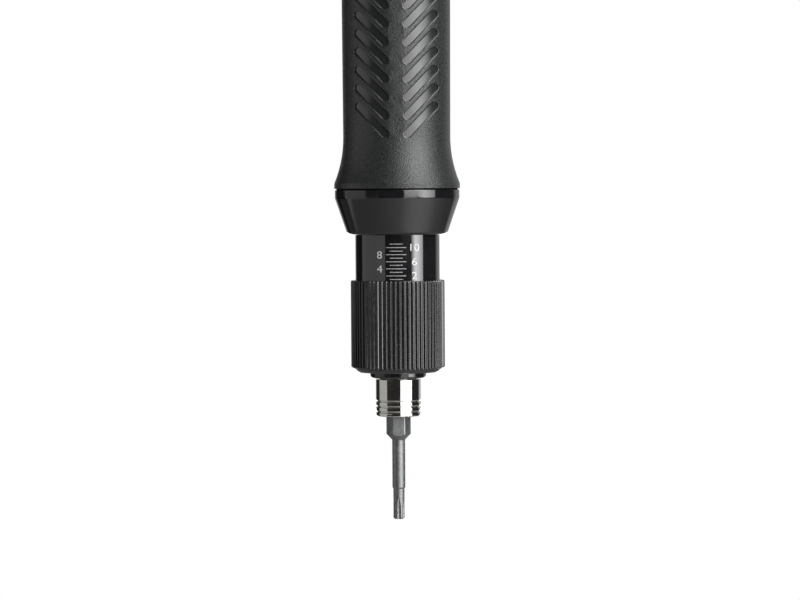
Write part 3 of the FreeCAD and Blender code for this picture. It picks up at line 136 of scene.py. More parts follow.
# finishes: edge is a soft edge's radius in mm; each bump is (noise scale, depth in mm, stretch)
looks = {
    "bit_steel": {"dark": (0.264, 0.271, 0.271), "light": (0.350, 0.357, 0.357), "rough": (0.44, 0.54),
                  "metallic": 1.0, "mottle": 900.0, "edge": 0.08, "bumps": ((9000.0, 0.0015, None),)},
    "steel": {"dark": (0.50, 0.50, 0.49), "light": (0.62, 0.62, 0.60), "rough": (0.20, 0.32),
              "metallic": 1.0, "edge": 0.08, "bumps": ((12000.0, 0.003, turned),)},
    "chrome": {"dark": (0.83, 0.81, 0.77), "light": (0.91, 0.90, 0.86), "rough": (0.05, 0.08),
               "metallic": 1.0, "bumps": ((9000.0, 0.0006, turned),)},
    "spring_steel": {"dark": (0.34, 0.34, 0.33), "light": (0.46, 0.46, 0.44), "rough": (0.28, 0.4),
                     "metallic": 1.0, "bumps": ((7000.0, 0.003, None),)},
    "collar_black": {"dark": (0.0114, 0.0114, 0.0129), "light": (0.0157, 0.0157, 0.0171),
                     "rough": (0.12, 0.18), "specular": 1.00, "bumps": ((2500.0, 0.0015, None),)},
    "ring_black": {"dark": (0.0057, 0.0057, 0.0071), "light": (0.0114, 0.0114, 0.0129),
                   "rough": (0.10, 0.15), "specular": 0.94, "ior": 1.56, "mottle": 800.0,
                   "bumps": ((4500.0, 0.0006, None),)},
    "barrel_black": {"dark": (0.0071, 0.0071, 0.0086), "light": (0.0100, 0.0100, 0.0114),
                     "rough": (0.05, 0.07), "specular": 1.00, "ior": 1.62,
                     "bumps": ((1200.0, 0.0006, None),)},
    "nose_black": {"dark": (0.0071, 0.0071, 0.0086), "light": (0.0100, 0.0100, 0.0114),
                   "rough": (0.06, 0.10), "specular": 0.94, "bumps": ((900.0, 0.0015, None),)},
    # near-black matte for the nose ring's seam groove: painted shade standing for the shadow gap under the
    # grip
    "seam_painted_shade": {"dark": (0.0029, 0.0029, 0.0029), "light": (0.0043, 0.0043, 0.0043),
                   "rough": (0.85, 0.95), "specular": 0.07},
    "lever_grey": {"dark": (0.0371, 0.0386, 0.0400), "light": (0.051, 0.053, 0.054),
                   "rough": (0.46, 0.56), "edge": 0.25, "bumps": ((4200.0, 0.02, None),)},
    "knob_black": {"dark": (0.0200, 0.0200, 0.0214), "light": (0.0286, 0.0286, 0.0300),
                   "rough": (0.40, 0.52), "edge": 0.2, "bumps": ((4200.0, 0.014, None),)},
    "cap_black": {"dark": (0.0229, 0.0229, 0.0243), "light": (0.0343, 0.0343, 0.0357),
                  "rough": (0.42, 0.54), "edge": 0.25, "bumps": ((4200.0, 0.018, None),)},
    "screw_black": {"dark": (0.071, 0.071, 0.071), "light": (0.129, 0.129, 0.129), "rough": (0.34, 0.46),
                    "metallic": 1.0, "edge": 0.1, "bumps": ((6000.0, 0.005, None),)},
    "gear_steel": {"dark": (0.40, 0.40, 0.39), "light": (0.54, 0.54, 0.52), "rough": (0.24, 0.36),
                   "metallic": 1.0, "edge": 0.05, "bumps": ((9000.0, 0.003, None),)},
    "case_zinc": {"dark": (0.48, 0.48, 0.47), "light": (0.60, 0.60, 0.58), "rough": (0.38, 0.52),
                  "metallic": 1.0, "edge": 0.1, "bumps": ((3000.0, 0.012, None),)},
    "motor_steel": {"dark": (0.44, 0.44, 0.43), "light": (0.56, 0.56, 0.54), "rough": (0.26, 0.38),
                    "metallic": 1.0, "edge": 0.1, "bumps": ((9000.0, 0.003, turned),)},
    "core_steel": {"dark": (0.16, 0.16, 0.17), "light": (0.27, 0.27, 0.28), "rough": (0.4, 0.55),
                   "metallic": 1.0, "bumps": ((2600.0, 0.03, (0.001, 0.001, 1.0)),)},
    "copper": {"dark": (0.42, 0.16, 0.06), "light": (0.62, 0.27, 0.12), "rough": (0.26, 0.38),
               "metallic": 1.0, "bumps": ((2600.0, 0.06, (0.3, 0.3, 0.03)),)},
    "magnet": {"dark": (0.14, 0.14, 0.15), "light": (0.20, 0.20, 0.21), "rough": (0.3, 0.42),
               "metallic": 1.0, "bumps": ((5000.0, 0.006, None),)},
    "board_green": {"dark": (0.010, 0.10, 0.04), "light": (0.016, 0.16, 0.07), "rough": (0.22, 0.34),
                    "mottle": 700.0, "bumps": ((2600.0, 0.008, None),)},
    "component_black": {"dark": (0.016, 0.016, 0.018), "light": (0.03, 0.03, 0.032),
                        "rough": (0.42, 0.55), "edge": 0.12, "bumps": ((5000.0, 0.01, None),)},
    "switch_black": {"dark": (0.014, 0.014, 0.016), "light": (0.026, 0.026, 0.028), "rough": (0.38, 0.5),
                     "edge": 0.12, "bumps": ((4000.0, 0.01, None),)},
    "plunger_red": {"dark": (0.30, 0.025, 0.02), "light": (0.40, 0.04, 0.03), "rough": (0.34, 0.45),
                    "bumps": ((4000.0, 0.006, None),)},
    "lead_red": {"dark": (0.24, 0.02, 0.016), "light": (0.32, 0.032, 0.026), "rough": (0.42, 0.55),
                 "bumps": ((3000.0, 0.01, None),)},
    "connector_metal": {"dark": (0.51, 0.51, 0.49), "light": (0.63, 0.62, 0.60), "rough": (0.30, 0.40),
                        "metallic": 1.0, "edge": 0.1, "bumps": ((9000.0, 0.002, turned),)},
    "insert_black": {"dark": (0.012, 0.012, 0.013), "light": (0.02, 0.02, 0.021), "rough": (0.36, 0.46),
                     "edge": 0.1, "bumps": ((4000.0, 0.008, None),)},
    "pin_brass": {"dark": (0.70, 0.48, 0.16), "light": (0.82, 0.60, 0.24), "rough": (0.16, 0.26),
                  "metallic": 1.0, "edge": 0.1, "bumps": ((9000.0, 0.002, None),)},
    "bail_steel": {"dark": (0.54, 0.54, 0.53), "light": (0.66, 0.66, 0.64), "rough": (0.28, 0.36),
                   "metallic": 1.0, "bumps": ((7000.0, 0.0004, None),)},
    "grip_lip": {"dark": (0.0200, 0.0214, 0.0214), "light": (0.0257, 0.0271, 0.0271),
                 "rough": (0.17, 0.23), "specular": 1.00, "ior": 1.7, "mottle": 500.0,
                 "bumps": ((5000.0, 0.004, None),)},
    "scale_print": {"dark": (0.286, 0.286, 0.286), "light": (0.40, 0.40, 0.40), "rough": (0.40, 0.52),
                    "mottle": 2500.0, "bumps": ((6000.0, 0.002, None),)},
    "number_print": {"dark": (0.66, 0.66, 0.66), "light": (0.80, 0.80, 0.80), "rough": (0.40, 0.52),
                     "mottle": 2500.0, "bumps": ((6000.0, 0.002, None),)},
}

# grip's outer face: a flare below the waist, a slight swell above it
gripShape = {"waist": 80.8, "waistRadius": 15.5, "swell": 0.5 / 111.0, "flareRadius": 34.6}

# grip: spark-eroded grain outside, smooth in the slots; the slots lie deeper than the face
gripLook = {"dark": (0.0129, 0.0150, 0.0143), "light": (0.0371, 0.0393, 0.0386), "rough": (0.25, 0.36),
            "gloss": 0.67, "mottle": 2500.0, "edge": 0.2, "grain": 2700.0, "grainDepth": 0.122,
            "fine": 5600.0, "fineDepth": 0.04, "slot": (0.0171, 0.0186, 0.0186), "slotRough": 0.25,
            "slotGloss": 0.89, "slotStart": 0.22, "slotFade": 0.06}


def makeGripFinish(look, shape):
    material = makeFinish("grip_grey", look)
    tree = material.node_tree
    shader = tree.nodes["Principled BSDF"]
    coord = tree.nodes["Texture Coordinate"]
    split = addNode(tree, "SeparateXYZ")
    join(tree, coord, "Object", split, "Vector")
    flat = addNode(tree, "CombineXYZ")
    join(tree, split, "X", flat, "X")
    join(tree, split, "Y", flat, "Y")
    radius = tree.nodes.new("ShaderNodeVectorMath")
    radius.operation = "LENGTH"
    join(tree, flat, "Vector", radius, 0)
    faceStart = shape["waistRadius"] - shape["swell"] * shape["waist"] - look["slotStart"]
    face = tree.nodes.new("ShaderNodeMath")      # face radius less the slot's start, at this height
    face.operation = "MULTIPLY_ADD"
    face.inputs[1].default_value = shape["swell"]
    face.inputs[2].default_value = faceStart * mm
    join(tree, split, "Z", face, 0)
    rise = tree.nodes.new("ShaderNodeMath")
    rise.operation = "SUBTRACT"
    join(tree, radius, "Value", rise, 0)
    join(tree, face, "Value", rise, 1)
    outside = addRange(tree, rise, "Value", 0.0, look["slotFade"] * mm, 0.0, 1.0)
    last = shader.inputs["Normal"].links[0].from_node
    for scale, depth in ((look["grain"], look["grainDepth"]), (look["fine"], look["fineDepth"])):
        noise = addNoise(tree, coord, scale, 1.0)
        height = tree.nodes.new("ShaderNodeMath")
        height.operation = "MULTIPLY"
        join(tree, noise, "Fac", height, 0)
        join(tree, outside, "Result", height, 1)
        bump = addNode(tree, "Bump", Strength=1.0, Distance=depth * mm)
        join(tree, height, "Value", bump, "Height")
        join(tree, last, "Normal", bump, "Normal")
        last = bump
    join(tree, last, "Normal", shader, "Normal")
    oldColour = shader.inputs["Base Color"].links[0].from_socket
    colour = addMix(tree, look["slot"], look["light"])
    tree.links.new(oldColour, colour.inputs[7])
    join(tree, outside, "Result", colour, 0)
    tree.links.new(colour.outputs[2], shader.inputs["Base Color"])
    oldRough = shader.inputs["Roughness"].links[0].from_socket
    gloss = addRange(tree, outside, "Result", 0.0, 1.0, look["slotGloss"], look["gloss"])
    join(tree, gloss, "Result", shader, "Specular IOR Level")
    rough = addNode(tree, "Mix")        # a number Mix: its numbers are inputs 2 and 3
    rough.inputs[2].default_value = look["slotRough"]
    tree.links.new(oldRough, rough.inputs[3])
    join(tree, outside, "Result", rough, 0)
    tree.links.new(rough.outputs[0], shader.inputs["Roughness"])
    return material


finishes = {}
for finishName, finishLook in looks.items():
    finishes[finishName] = makeFinish(finishName, finishLook)
finishes["grip_grey"] = makeGripFinish(gripLook, gripShape)
print("finishes made:", len(finishes))

nodeSlots = {}
for subpart in frame["record"]["subparts"]:
    nodeSlots[subpart["node"]] = subpart["material_slot"]
for nodeName, node in nodes.items():
    node.data.materials.clear()
    node.data.materials.append(finishes[nodeSlots[nodeName]])


# geometry helpers; all lengths are in millimetres until the mesh is written
def arc(centreR, centreZ, radius, start, end, steps):
    points = []
    for i in range(steps + 1):
        angle = math.radians(start + (end - start) * i / steps)
        points.append((centreR + radius * math.cos(angle), centreZ + radius * math.sin(angle)))
    return points


# a long straight stretch gets a ring near each end, so that rounded edges don't bend its shading
def withSupports(outline, near=0.05, least=0.6):
    points = []
    for i, start in enumerate(outline):
        points.append(start)
        end = outline[(i + 1) % len(outline)]
        length = math.dist(start, end)
        if length > least:
            for share in (near / length, 1 - near / length):
                r = start[0] + (end[0] - start[0]) * share
                z = start[1] + (end[1] - start[1]) * share
                points.append((r, z))
    return points


def spinOutline(outline, steps):
    bm = bmesh.new()
    outline = withSupports(outline)
    ring = [bm.verts.new((r, 0.0, z)) for r, z in outline]
    edges = [bm.edges.new((ring[i], ring[(i + 1) % len(ring)])) for i in range(len(ring))]
    bmesh.ops.spin(bm, geom=ring + edges, cent=(0, 0, 0), axis=(0, 0, 1), angle=2 * math.pi,
                   steps=steps, use_merge=True)
    bmesh.ops.remove_doubles(bm, verts=bm.verts, dist=1e-5)
    bmesh.ops.recalc_face_normals(bm, faces=bm.faces)
    return bm


def finishPiece(bm, name, finish, body, sharp=35.0, replaced=()):
    bmesh.ops.scale(bm, vec=(mm, mm, mm), verts=bm.verts)
    mesh = bpy.data.meshes.new(name)
    bm.to_mesh(mesh)
    bm.free()
    mesh.shade_smooth()
    mesh.set_sharp_from_angle(angle=math.radians(sharp))
    piece = bpy.data.objects.new(name, mesh)
    bpy.context.scene.collection.objects.link(piece)
    mesh.materials.append(finishes[finish])
    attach(piece, body)
    if replaced:
        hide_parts(*replaced)
    return piece


# chuck sleeve: polished, three turned grooves near the mouth
sleeve = {"radius": 6.525, "length": 10.8, "cavity": 5.7, "land": 4.8, "landLow": 5.1, "landHigh": 7.5,
          "grooves": (1.30, 2.84, 4.38), "grooveRadius": 0.30, "grooveDepth": 0.32, "shoulder": 0.22,
          "shoulderShare": 0.6, "mouthRound": 0.35, "topRound": 0.25, "steps": 160}


def makeSleeve(size):
    r = size["radius"]
    reach = size["grooveRadius"]
    shoulder = size["shoulder"]
    gap = reach + shoulder * size["shoulderShare"]        # from a groove's middle to its shoulder's
    outline = arc(r - size["mouthRound"], size["mouthRound"], size["mouthRound"], -90, 0, 6)
    for z in size["grooves"]:
        outline += arc(r - shoulder, z - gap, shoulder, 0, 60, 4)
        outline += arc(r - size["grooveDepth"] + reach, z, reach, 220, 140, 6)
        outline += arc(r - shoulder, z + gap, shoulder, -60, 0, 4)
    outline += arc(r - size["topRound"], size["length"] - size["topRound"], size["topRound"], 0, 90, 5)
    outline += [(size["cavity"], size["length"]), (size["cavity"], size["landHigh"]),
                (size["land"], size["landHigh"]), (size["land"], size["landLow"]),
                (size["cavity"], size["landLow"]), (size["cavity"], 0.0)]
    bm = spinOutline(outline, size["steps"])
    return finishPiece(bm, "sleeve", "chrome", "chuck_sleeve", replaced=("chuck_sleeve",))


makeSleeve(sleeve)

# collar: moulded bush under the torque ring
collar = {"bore": 4.8, "radius": 8.1, "bottom": 11.1, "top": 12.9, "seat": 6.5, "seatTop": 15.7,
          "round": 0.6, "edge": 0.15, "steps": 160}


def makeCollar(size):
    r = size["radius"]
    outline = [(size["bore"], size["bottom"])]
    outline += arc(r - size["round"], size["bottom"] + size["round"], size["round"], -90, 0, 10)
    outline += arc(r - size["edge"], size["top"] - size["edge"], size["edge"], 0, 90, 4)
    outline += [(size["seat"], size["top"]), (size["seat"], size["seatTop"]),
                (size["bore"], size["seatTop"])]
    bm = spinOutline(outline, size["steps"])
    return finishPiece(bm, "collar", "collar_black", "torque_ring", replaced=("ring_bush",))


makeCollar(collar)

# torque ring: straight knurl, one ridge repeated round the ring; across is half a ridge, as (offset, drop)
knurl = {"radius": 13.6, "depth": 0.42, "count": 64, "phase": 2.1, "bottom": 12.9, "length": 26.5,
         "chamfer": 1.5, "chamferRing": 0.5, "aboveChamfer": 0.15, "topRound": 0.45, "belowRound": 0.1,
         "roundTurns": (0, 25, 50, 70, 90), "skin": 0.5, "hole": 6.52, "floor": 15.7, "thread": 10.55,
         "shoulder": 29.4, "slide": 12.25,
         "across": ((0.0, 0.0), (0.10, 0.006), (0.18, 0.03), (0.26, 0.10), (0.42, 0.36), (0.50, 0.42))}


def makeKnurl(size):
    low = size["bottom"]
    top = low + size["length"]
    full = low + size["chamfer"]        # the ridges run full from here
    rounded = top - size["topRound"]
    heights = [low, low + size["chamferRing"], full - size["depth"], full - size["depth"] / 2, full,
               full + size["aboveChamfer"], (low + top) / 2, rounded - size["belowRound"]]
    for turn in size["roundTurns"]:
        heights.append(rounded + size["topRound"] * math.sin(math.radians(turn)))
    outline = [(size["radius"], z) for z in heights]
    outline += [(size["slide"], top), (size["slide"], size["shoulder"]),
                (size["thread"], size["shoulder"]), (size["thread"], size["floor"]),
                (size["hole"], size["floor"]), (size["hole"], low)]
    ridgeColumns = [(-offset, drop) for offset, drop in size["across"][:0:-1]] + list(size["across"])
    columns = len(ridgeColumns)
    bm = spinOutline(outline, columns * size["count"])
    step = 2 * math.pi / (columns * size["count"])
    pitch = 2 * math.pi / size["count"]

    def envelope(z):
        reach = size["radius"]
        if z < full:
            reach -= full - z
        past = z - rounded
        if past > 0:
            reach -= size["topRound"] - math.sqrt(max(0.0, size["topRound"] ** 2 - past ** 2))
        return reach

    for vert in bm.verts:
        r = math.hypot(vert.co.x, vert.co.y)
        index = round(math.atan2(vert.co.y, vert.co.x) / step) % (columns * size["count"])
        ridge, column = divmod(index, columns)
        offset, drop = ridgeColumns[column]
        angle = ridge * pitch + offset / size["radius"] + math.radians(size["phase"] - 90)
        if r > size["slide"] + size["skin"]:
            r = min(size["radius"] - drop, envelope(vert.co.z))
        vert.co.x = r * math.cos(angle)
        vert.co.y = r * math.sin(angle)
    bmesh.ops.recalc_face_normals(bm, faces=bm.faces)
    return finishPiece(bm, "knurledRing", "ring_black", "torque_ring", sharp=50.0,
                       replaced=("torque_ring",))


makeKnurl(knurl)
print("chuck sleeve, collar and torque ring made")

# scale barrel: gloss black sleeve inside the nose ring
barrel = {"radius": 12.2, "thread": 10.5, "bore": 9.0, "bottom": 25.0, "shoulder": 38.7,
          "rings": (43.0, 48.0), "flangeLow": 54.2, "flangeTop": 57.0, "flange": 13.6, "seat": 9.52,
          "seatLow": 51.6, "edge": 0.2, "steps": 200}


def makeBarrel(size):
    r = size["radius"]
    outline = [(size["bore"], size["bottom"]), (size["thread"], size["bottom"]),
               (size["thread"], size["shoulder"])]
    outline += arc(r - size["edge"], size["shoulder"] + size["edge"], size["edge"], -90, 0, 4)
    outline += [(r, z) for z in size["rings"]]
    outline += [(r, size["flangeLow"]), (size["flange"], size["flangeLow"]),
                (size["flange"], size["flangeTop"]), (size["seat"], size["flangeTop"]),
                (size["seat"], size["seatLow"]), (size["bore"], size["seatLow"])]
    bm = spinOutline(outline, size["steps"])
    return finishPiece(bm, "scaleSleeve", "barrel_black", "housing", replaced=("scale_barrel",))


makeBarrel(barrel)

# printed marks: one a millimetre, long ones at the even numbers
marks = {"first": 39.95, "count": 11, "step": 1.01, "long": 5.8, "short": 3.75, "thick": 0.23,
         "across": -0.38, "inner": 12.19, "outer": 12.222, "steps": 16}


def makeMarks(size):
    bm = bmesh.new()
    for i in range(size["count"]):
        number = i + 1
        z = size["first"] + i * size["step"]
        width = size["long"] if number % 2 == 0 else size["short"]
        turn = width / size["outer"]
        corners = [(size["inner"], z - size["thick"] / 2), (size["outer"], z - size["thick"] / 2),
                   (size["outer"], z + size["thick"] / 2), (size["inner"], z + size["thick"] / 2)]
        start = -math.pi / 2 - turn / 2 + size["across"] / size["outer"]
        verts = [bm.verts.new((r * math.cos(start), r * math.sin(start), h)) for r, h in corners]
        face = bm.faces.new(verts)
        bmesh.ops.spin(bm, geom=[face] + list(face.edges) + verts, cent=(0, 0, 0), axis=(0, 0, 1),
                       angle=turn, steps=size["steps"])
    bmesh.ops.recalc_face_normals(bm, faces=bm.faces)
    return finishPiece(bm, "scaleMarks", "scale_print", "housing")


makeMarks(marks)

# printed numbers, wrapped on the barrel; across is the arc from the front, in mm
numbers = {"8": (-5.3, 46.95), "4": (-5.3, 42.95), "10": (5.15, 49.05), "6": (5.0, 45.0), "2": (5.0, 41.0)}
numberSize = {"height": 2.05, "stretch": 1.22, "thinner": -0.005, "inner": 12.17, "outer": 12.23,
              "roundness": 6, "longest": 0.4}


def makeNumber(text, across, z, size):
    curve = bpy.data.curves.new("number" + text, "FONT")
    curve.body = text
    curve.align_x = "CENTER"
    curve.align_y = "CENTER"
    curve.resolution_u = size["roundness"]
    curve.offset = size["thinner"]
    holder = bpy.data.objects.new("number" + text, curve)
    bpy.context.scene.collection.objects.link(holder)
    bpy.context.view_layer.update()
    flat = bpy.data.meshes.new_from_object(holder)
    bpy.data.objects.remove(holder)
    bpy.data.curves.remove(curve)
    bm = bmesh.new()
    bm.from_mesh(flat)
    bpy.data.meshes.remove(flat)
    tall = max(v.co.y for v in bm.verts) - min(v.co.y for v in bm.verts)
    middle = (max(v.co.y for v in bm.verts) + min(v.co.y for v in bm.verts)) / 2
    centre = (max(v.co.x for v in bm.verts) + min(v.co.x for v in bm.verts)) / 2
    zoom = size["height"] / tall
    bmesh.ops.triangulate(bm, faces=bm.faces)
    longEdges = [e for e in bm.edges if e.calc_length() * zoom > size["longest"]]
    bmesh.ops.subdivide_edges(bm, edges=longEdges, cuts=1)
    bmesh.ops.triangulate(bm, faces=bm.faces)
    lifted = bmesh.ops.extrude_face_region(bm, geom=list(bm.faces))
    top = {v for v in lifted["geom"] if isinstance(v, bmesh.types.BMVert)}
    for vert in bm.verts:
        r = size["outer"] if vert in top else size["inner"]
        turn = (across + (vert.co.x - centre) * zoom * size["stretch"]) / size["outer"] - math.pi / 2
        height = z + (vert.co.y - middle) * zoom
        vert.co = (r * math.cos(turn), r * math.sin(turn), height)
    bmesh.ops.recalc_face_normals(bm, faces=bm.faces)
    piece = finishPiece(bm, "scaleNumber" + text, "number_print", "housing")


for text, (across, z) in numbers.items():
    makeNumber(text, across, z, numberSize)
print("scale barrel and its marks made")

# nose ring: polished cone with a narrow band under the grip, and painted shade in the seam groove on its
# top
nose = {"mouth": 14.4, "top": 18.05, "bottom": 52.6, "coneTop": 63.2, "height": 65.9, "round": 1.3,
        "edge": 0.25, "barrel": 12.25, "pocket": 13.65, "pocketLow": 54.2, "spigot": 15.95,
        "spigotLow": 61.5, "shoulder": 1.6, "seam": 0.35, "seamRadius": 17.6, "slack": 0.02, "steps": 220}


def makeNose(size):
    lean = math.degrees(math.atan((size["top"] - size["mouth"]) / (size["coneTop"] - size["bottom"])))
    back = size["round"] * math.tan(math.radians((90 - lean) / 2))
    outline = [(size["barrel"], size["bottom"])]
    outline += arc(size["mouth"] - back, size["bottom"] + size["round"], size["round"], -90, -lean, 10)
    drop = size["shoulder"] * math.tan(math.radians(lean / 2))
    outline += arc(size["top"] - size["shoulder"], size["coneTop"] + drop, size["shoulder"], -lean, 0, 4)
    rim = size["height"] - size["seam"]
    outline += arc(size["top"] - size["edge"], rim - size["edge"], size["edge"], 0, 90, 5)
    outline += [(size["seamRadius"], rim), (size["seamRadius"], size["height"]),
                (size["spigot"], size["height"]), (size["spigot"], size["spigotLow"]),
                (size["pocket"], size["spigotLow"]), (size["pocket"], size["pocketLow"]),
                (size["barrel"], size["pocketLow"])]
    bm = spinOutline(outline, size["steps"])
    piece = finishPiece(bm, "noseRing", "nose_black", "housing", replaced=("nose_ring",))
    # faces in the seam groove at the top take the near-black matte: painted shade for the shadow gap under
    # the grip
    piece.data.materials.append(finishes["seam_painted_shade"])
    paintedShadeLow = (rim - size["slack"]) * mm
    paintedShadeOut = (size["top"] - size["edge"] - size["slack"]) * mm
    for face in piece.data.polygons:
        reach = math.hypot(face.center.x, face.center.y)
        if face.center.z > paintedShadeLow and reach < paintedShadeOut:
            face.material_index = 1
    return piece


makeNose(nose)

# slot lips: rounded side walls inside the grip's moulded slots; each profile point is (offset, depth)
slots = {"inner": 3.2, "outer": 10.8, "rise": 7.95, "half": 1.325, "pitch": 5.2, "rows": 10,
         "low": 81.475, "endSteps": 12, "sideSteps": 8,
         "profile": ((0.0, 0.01), (-0.07, 0.03), (-0.15, 0.10), (-0.22, 0.22), (-0.28, 0.46), (0.03, 0.47))}


def gripFace(z, shape):
    below = shape["waist"] - z
    if below < 0:
        return shape["waistRadius"] - shape["swell"] * below
    return shape["waistRadius"] + shape["flareRadius"] - math.sqrt(shape["flareRadius"] ** 2 - below ** 2)


# one closed turn round a slanted slot, flat: x is across the grip, y is up
def slotPath(low, offset, size):
    run = Vector((size["outer"] - size["inner"], size["rise"]))
    along = run.normalized()
    across = Vector((-along.y, along.x))
    start = Vector((size["inner"], low))
    reach = size["half"] + offset
    points = []
    for end, other, turn in ((start, start + run, 90), (start + run, start, -90)):
        for i in range(size["endSteps"] + 1):
            angle = math.radians(turn + 180 * i / size["endSteps"])
            points.append(end + (along * math.cos(angle) + across * math.sin(angle)) * reach)
        last = points[-1]
        first = other + (last - end)
        for i in range(1, size["sideSteps"]):
            points.append(last.lerp(first, i / size["sideSteps"]))
    return points


def makeSlotLips(size, shape):
    bm = bmesh.new()
    for row in range(size["rows"]):
        low = size["low"] + row * size["pitch"]
        for mirror, turn in ((1, 1), (-1, 1), (1, -1), (-1, -1)):
            loops = []
            for offset, depth in size["profile"]:
                ring = []
                for p in slotPath(low, offset, size):
                    reach = gripFace(p.y, shape) - depth
                    y = -math.sqrt(reach ** 2 - p.x ** 2)
                    ring.append(bm.verts.new((mirror * turn * p.x, turn * y, p.y)))
                loops.append([bm.edges.new((ring[i - 1], ring[i])) for i in range(len(ring))])
            for inner, outer in zip(loops, loops[1:] + loops[:1]):
                bmesh.ops.bridge_loops(bm, edges=inner + outer)
    bmesh.ops.recalc_face_normals(bm, faces=bm.faces)
    return finishPiece(bm, "slotLips", "grip_lip", "housing", sharp=60.0)


makeSlotLips(slots, gripShape)
print("grip slots lined")

# connector socket: plated collar with thread rings above its flange
socket = {"radius": 7.9, "bore": 6.4, "shoulder": 5.2, "bottom": 203.8, "flange": 9.8, "flangeLow": 221.6,
          "flangeTop": 223.6, "top": 230.6, "insertLow": 211.6, "edge": 0.25, "threadStart": 224.6,
          "threadPitch": 0.75, "threadCount": 7, "threadDepth": 0.3, "crestLow": 0.3, "crestHigh": 0.42,
          "crestFoot": 0.7, "steps": 140}


def makeSocket(size):
    edge = size["edge"]
    r = size["radius"]
    root = r - size["threadDepth"]
    outline = [(size["shoulder"], size["bottom"]), (r, size["bottom"]), (r, size["flangeLow"]),
               (size["flange"], size["flangeLow"])]
    outline += arc(size["flange"] - edge, size["flangeTop"] - edge, edge, 0, 90, 4)
    outline += [(root, size["flangeTop"])]
    for i in range(size["threadCount"]):
        z = size["threadStart"] + i * size["threadPitch"]
        outline += [(root, z), (r, z + size["crestLow"]), (r, z + size["crestHigh"]),
                    (root, z + size["crestFoot"])]
    outline += arc(root - edge, size["top"] - edge, edge, 0, 90, 4)
    outline += arc(size["bore"] + edge, size["top"] - edge, edge, 90, 180, 4)
    outline += [(size["bore"], size["insertLow"]), (size["shoulder"], size["insertLow"])]
    bm = spinOutline(outline, size["steps"])
    return finishPiece(bm, "plugSocket", "connector_metal", "housing", replaced=("connector_socket",))


makeSocket(socket)
print("nose ring and plug socket made")

# coil springs: round wire wound round the axis from its bottom to its top, against the ring's seat or the
# sleeve's land
springs = {
    "clutchSpring": {"node": "clutch_spring", "body": "housing", "radius": 7.3, "wire": 1.7,
                     "bottom": 17.2, "top": 40.2, "turns": 6.0, "joint": "torque_ring_travel",
                     "fixed": 40.2, "keep": 0.607},
    "sleeveSpring": {"node": "sleeve_spring", "body": "spindle", "radius": 5.35, "wire": 0.45,
                     "bottom": 1.3, "top": 5.1, "turns": 2.5, "joint": "chuck_sleeve_slide", "fixed": 1.3,
                     "keep": 0.47},
}
springSteps = {"turn": 48, "wire": 16}


def makeSpring(name, size):
    reach = size["wire"] / 2
    steps = round(springSteps["turn"] * size["turns"])
    sweep = 2 * math.pi * size["turns"]
    rise = size["top"] - size["bottom"] - size["wire"]
    slope = math.atan(rise / (sweep * size["radius"]))
    bm = bmesh.new()
    bmesh.ops.create_circle(bm, cap_ends=True, segments=springSteps["wire"], radius=reach)
    bmesh.ops.rotate(bm, matrix=Matrix.Rotation(math.pi / 2 + slope, 3, "X"), verts=bm.verts)
    bmesh.ops.translate(bm, vec=(size["radius"], 0, size["bottom"] + reach), verts=bm.verts)
    wireEnd = list(bm.faces) + list(bm.edges) + list(bm.verts)
    bmesh.ops.spin(bm, geom=wireEnd, cent=(0, 0, 0), axis=(0, 0, 1), dvec=(0, 0, rise / steps),
                   angle=sweep, steps=steps)
    bmesh.ops.recalc_face_normals(bm, faces=bm.faces)
    piece = finishPiece(bm, name, "spring_steel", size["body"], replaced=(size["node"],))
    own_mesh(piece)


for springName, spring in springs.items():
    makeSpring(springName, spring)

# switch plunger: rounded tip, a hair short of the lever's face
plunger = {"radius": 1.1, "round": 0.4, "clear": 0.04, "sides": 48, "roundSteps": 5}


def makePlunger(size):
    low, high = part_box("switch_plunger")
    tip = low[1] / mm + size["clear"]
    length = high[1] / mm - tip
    bm = bmesh.new()
    bmesh.ops.create_cone(bm, cap_ends=True, segments=size["sides"], radius1=size["radius"],
                          radius2=size["radius"], depth=length)
    front = [e for e in bm.edges if all(v.co.z > 0 for v in e.verts)]
    bmesh.ops.bevel(bm, geom=front, offset=size["round"], segments=size["roundSteps"], profile=0.5,
                    affect="EDGES", material=-1)
    bmesh.ops.rotate(bm, matrix=Matrix.Rotation(math.pi / 2, 3, "X"), verts=bm.verts)
    middle = ((low[0] + high[0]) / 2 / mm, tip + length / 2, (low[2] + high[2]) / 2 / mm)
    bmesh.ops.translate(bm, vec=middle, verts=bm.verts)
    return finishPiece(bm, "switchPlunger", "plunger_red", "switch_plunger", replaced=("switch_plunger",))


makePlunger(plunger)
print("springs and switch plunger made")

# plain pale floor, far below the hanging tool; its sizes are in metres
floorPlan = {"half": 1.5, "height": -0.45, "colour": (0.42, 0.42, 0.42, 1.0), "rough": 0.9, "glow": 0.97}
floorBm = bmesh.new()
bmesh.ops.create_grid(floorBm, x_segments=1, y_segments=1, size=floorPlan["half"])
bmesh.ops.translate(floorBm, vec=(0, 0, floorPlan["height"]), verts=floorBm.verts)
floorMesh = bpy.data.meshes.new("floor")
floorBm.to_mesh(floorMesh)
floorBm.free()
floor = bpy.data.objects.new("floor", floorMesh)
bpy.context.scene.collection.objects.link(floor)
floorMaterial = bpy.data.materials.new("palePaper")
floorMaterial.use_nodes = True
floorTree = floorMaterial.node_tree
floorShader = floorTree.nodes["Principled BSDF"]
floorShader.inputs["Base Color"].default_value = floorPlan["colour"]
floorShader.inputs["Roughness"].default_value = floorPlan["rough"]
floorShader.inputs["Emission Color"].default_value = (1.0, 1.0, 1.0, 1.0)
floorPath = floorTree.nodes.new("ShaderNodeLightPath")
floorGlow = addRange(floorTree, floorPath, "Is Camera Ray", 0.0, 1.0, 0.0, floorPlan["glow"])
join(floorTree, floorGlow, "Result", floorShader, "Emission Strength")
floorMesh.materials.append(floorMaterial)

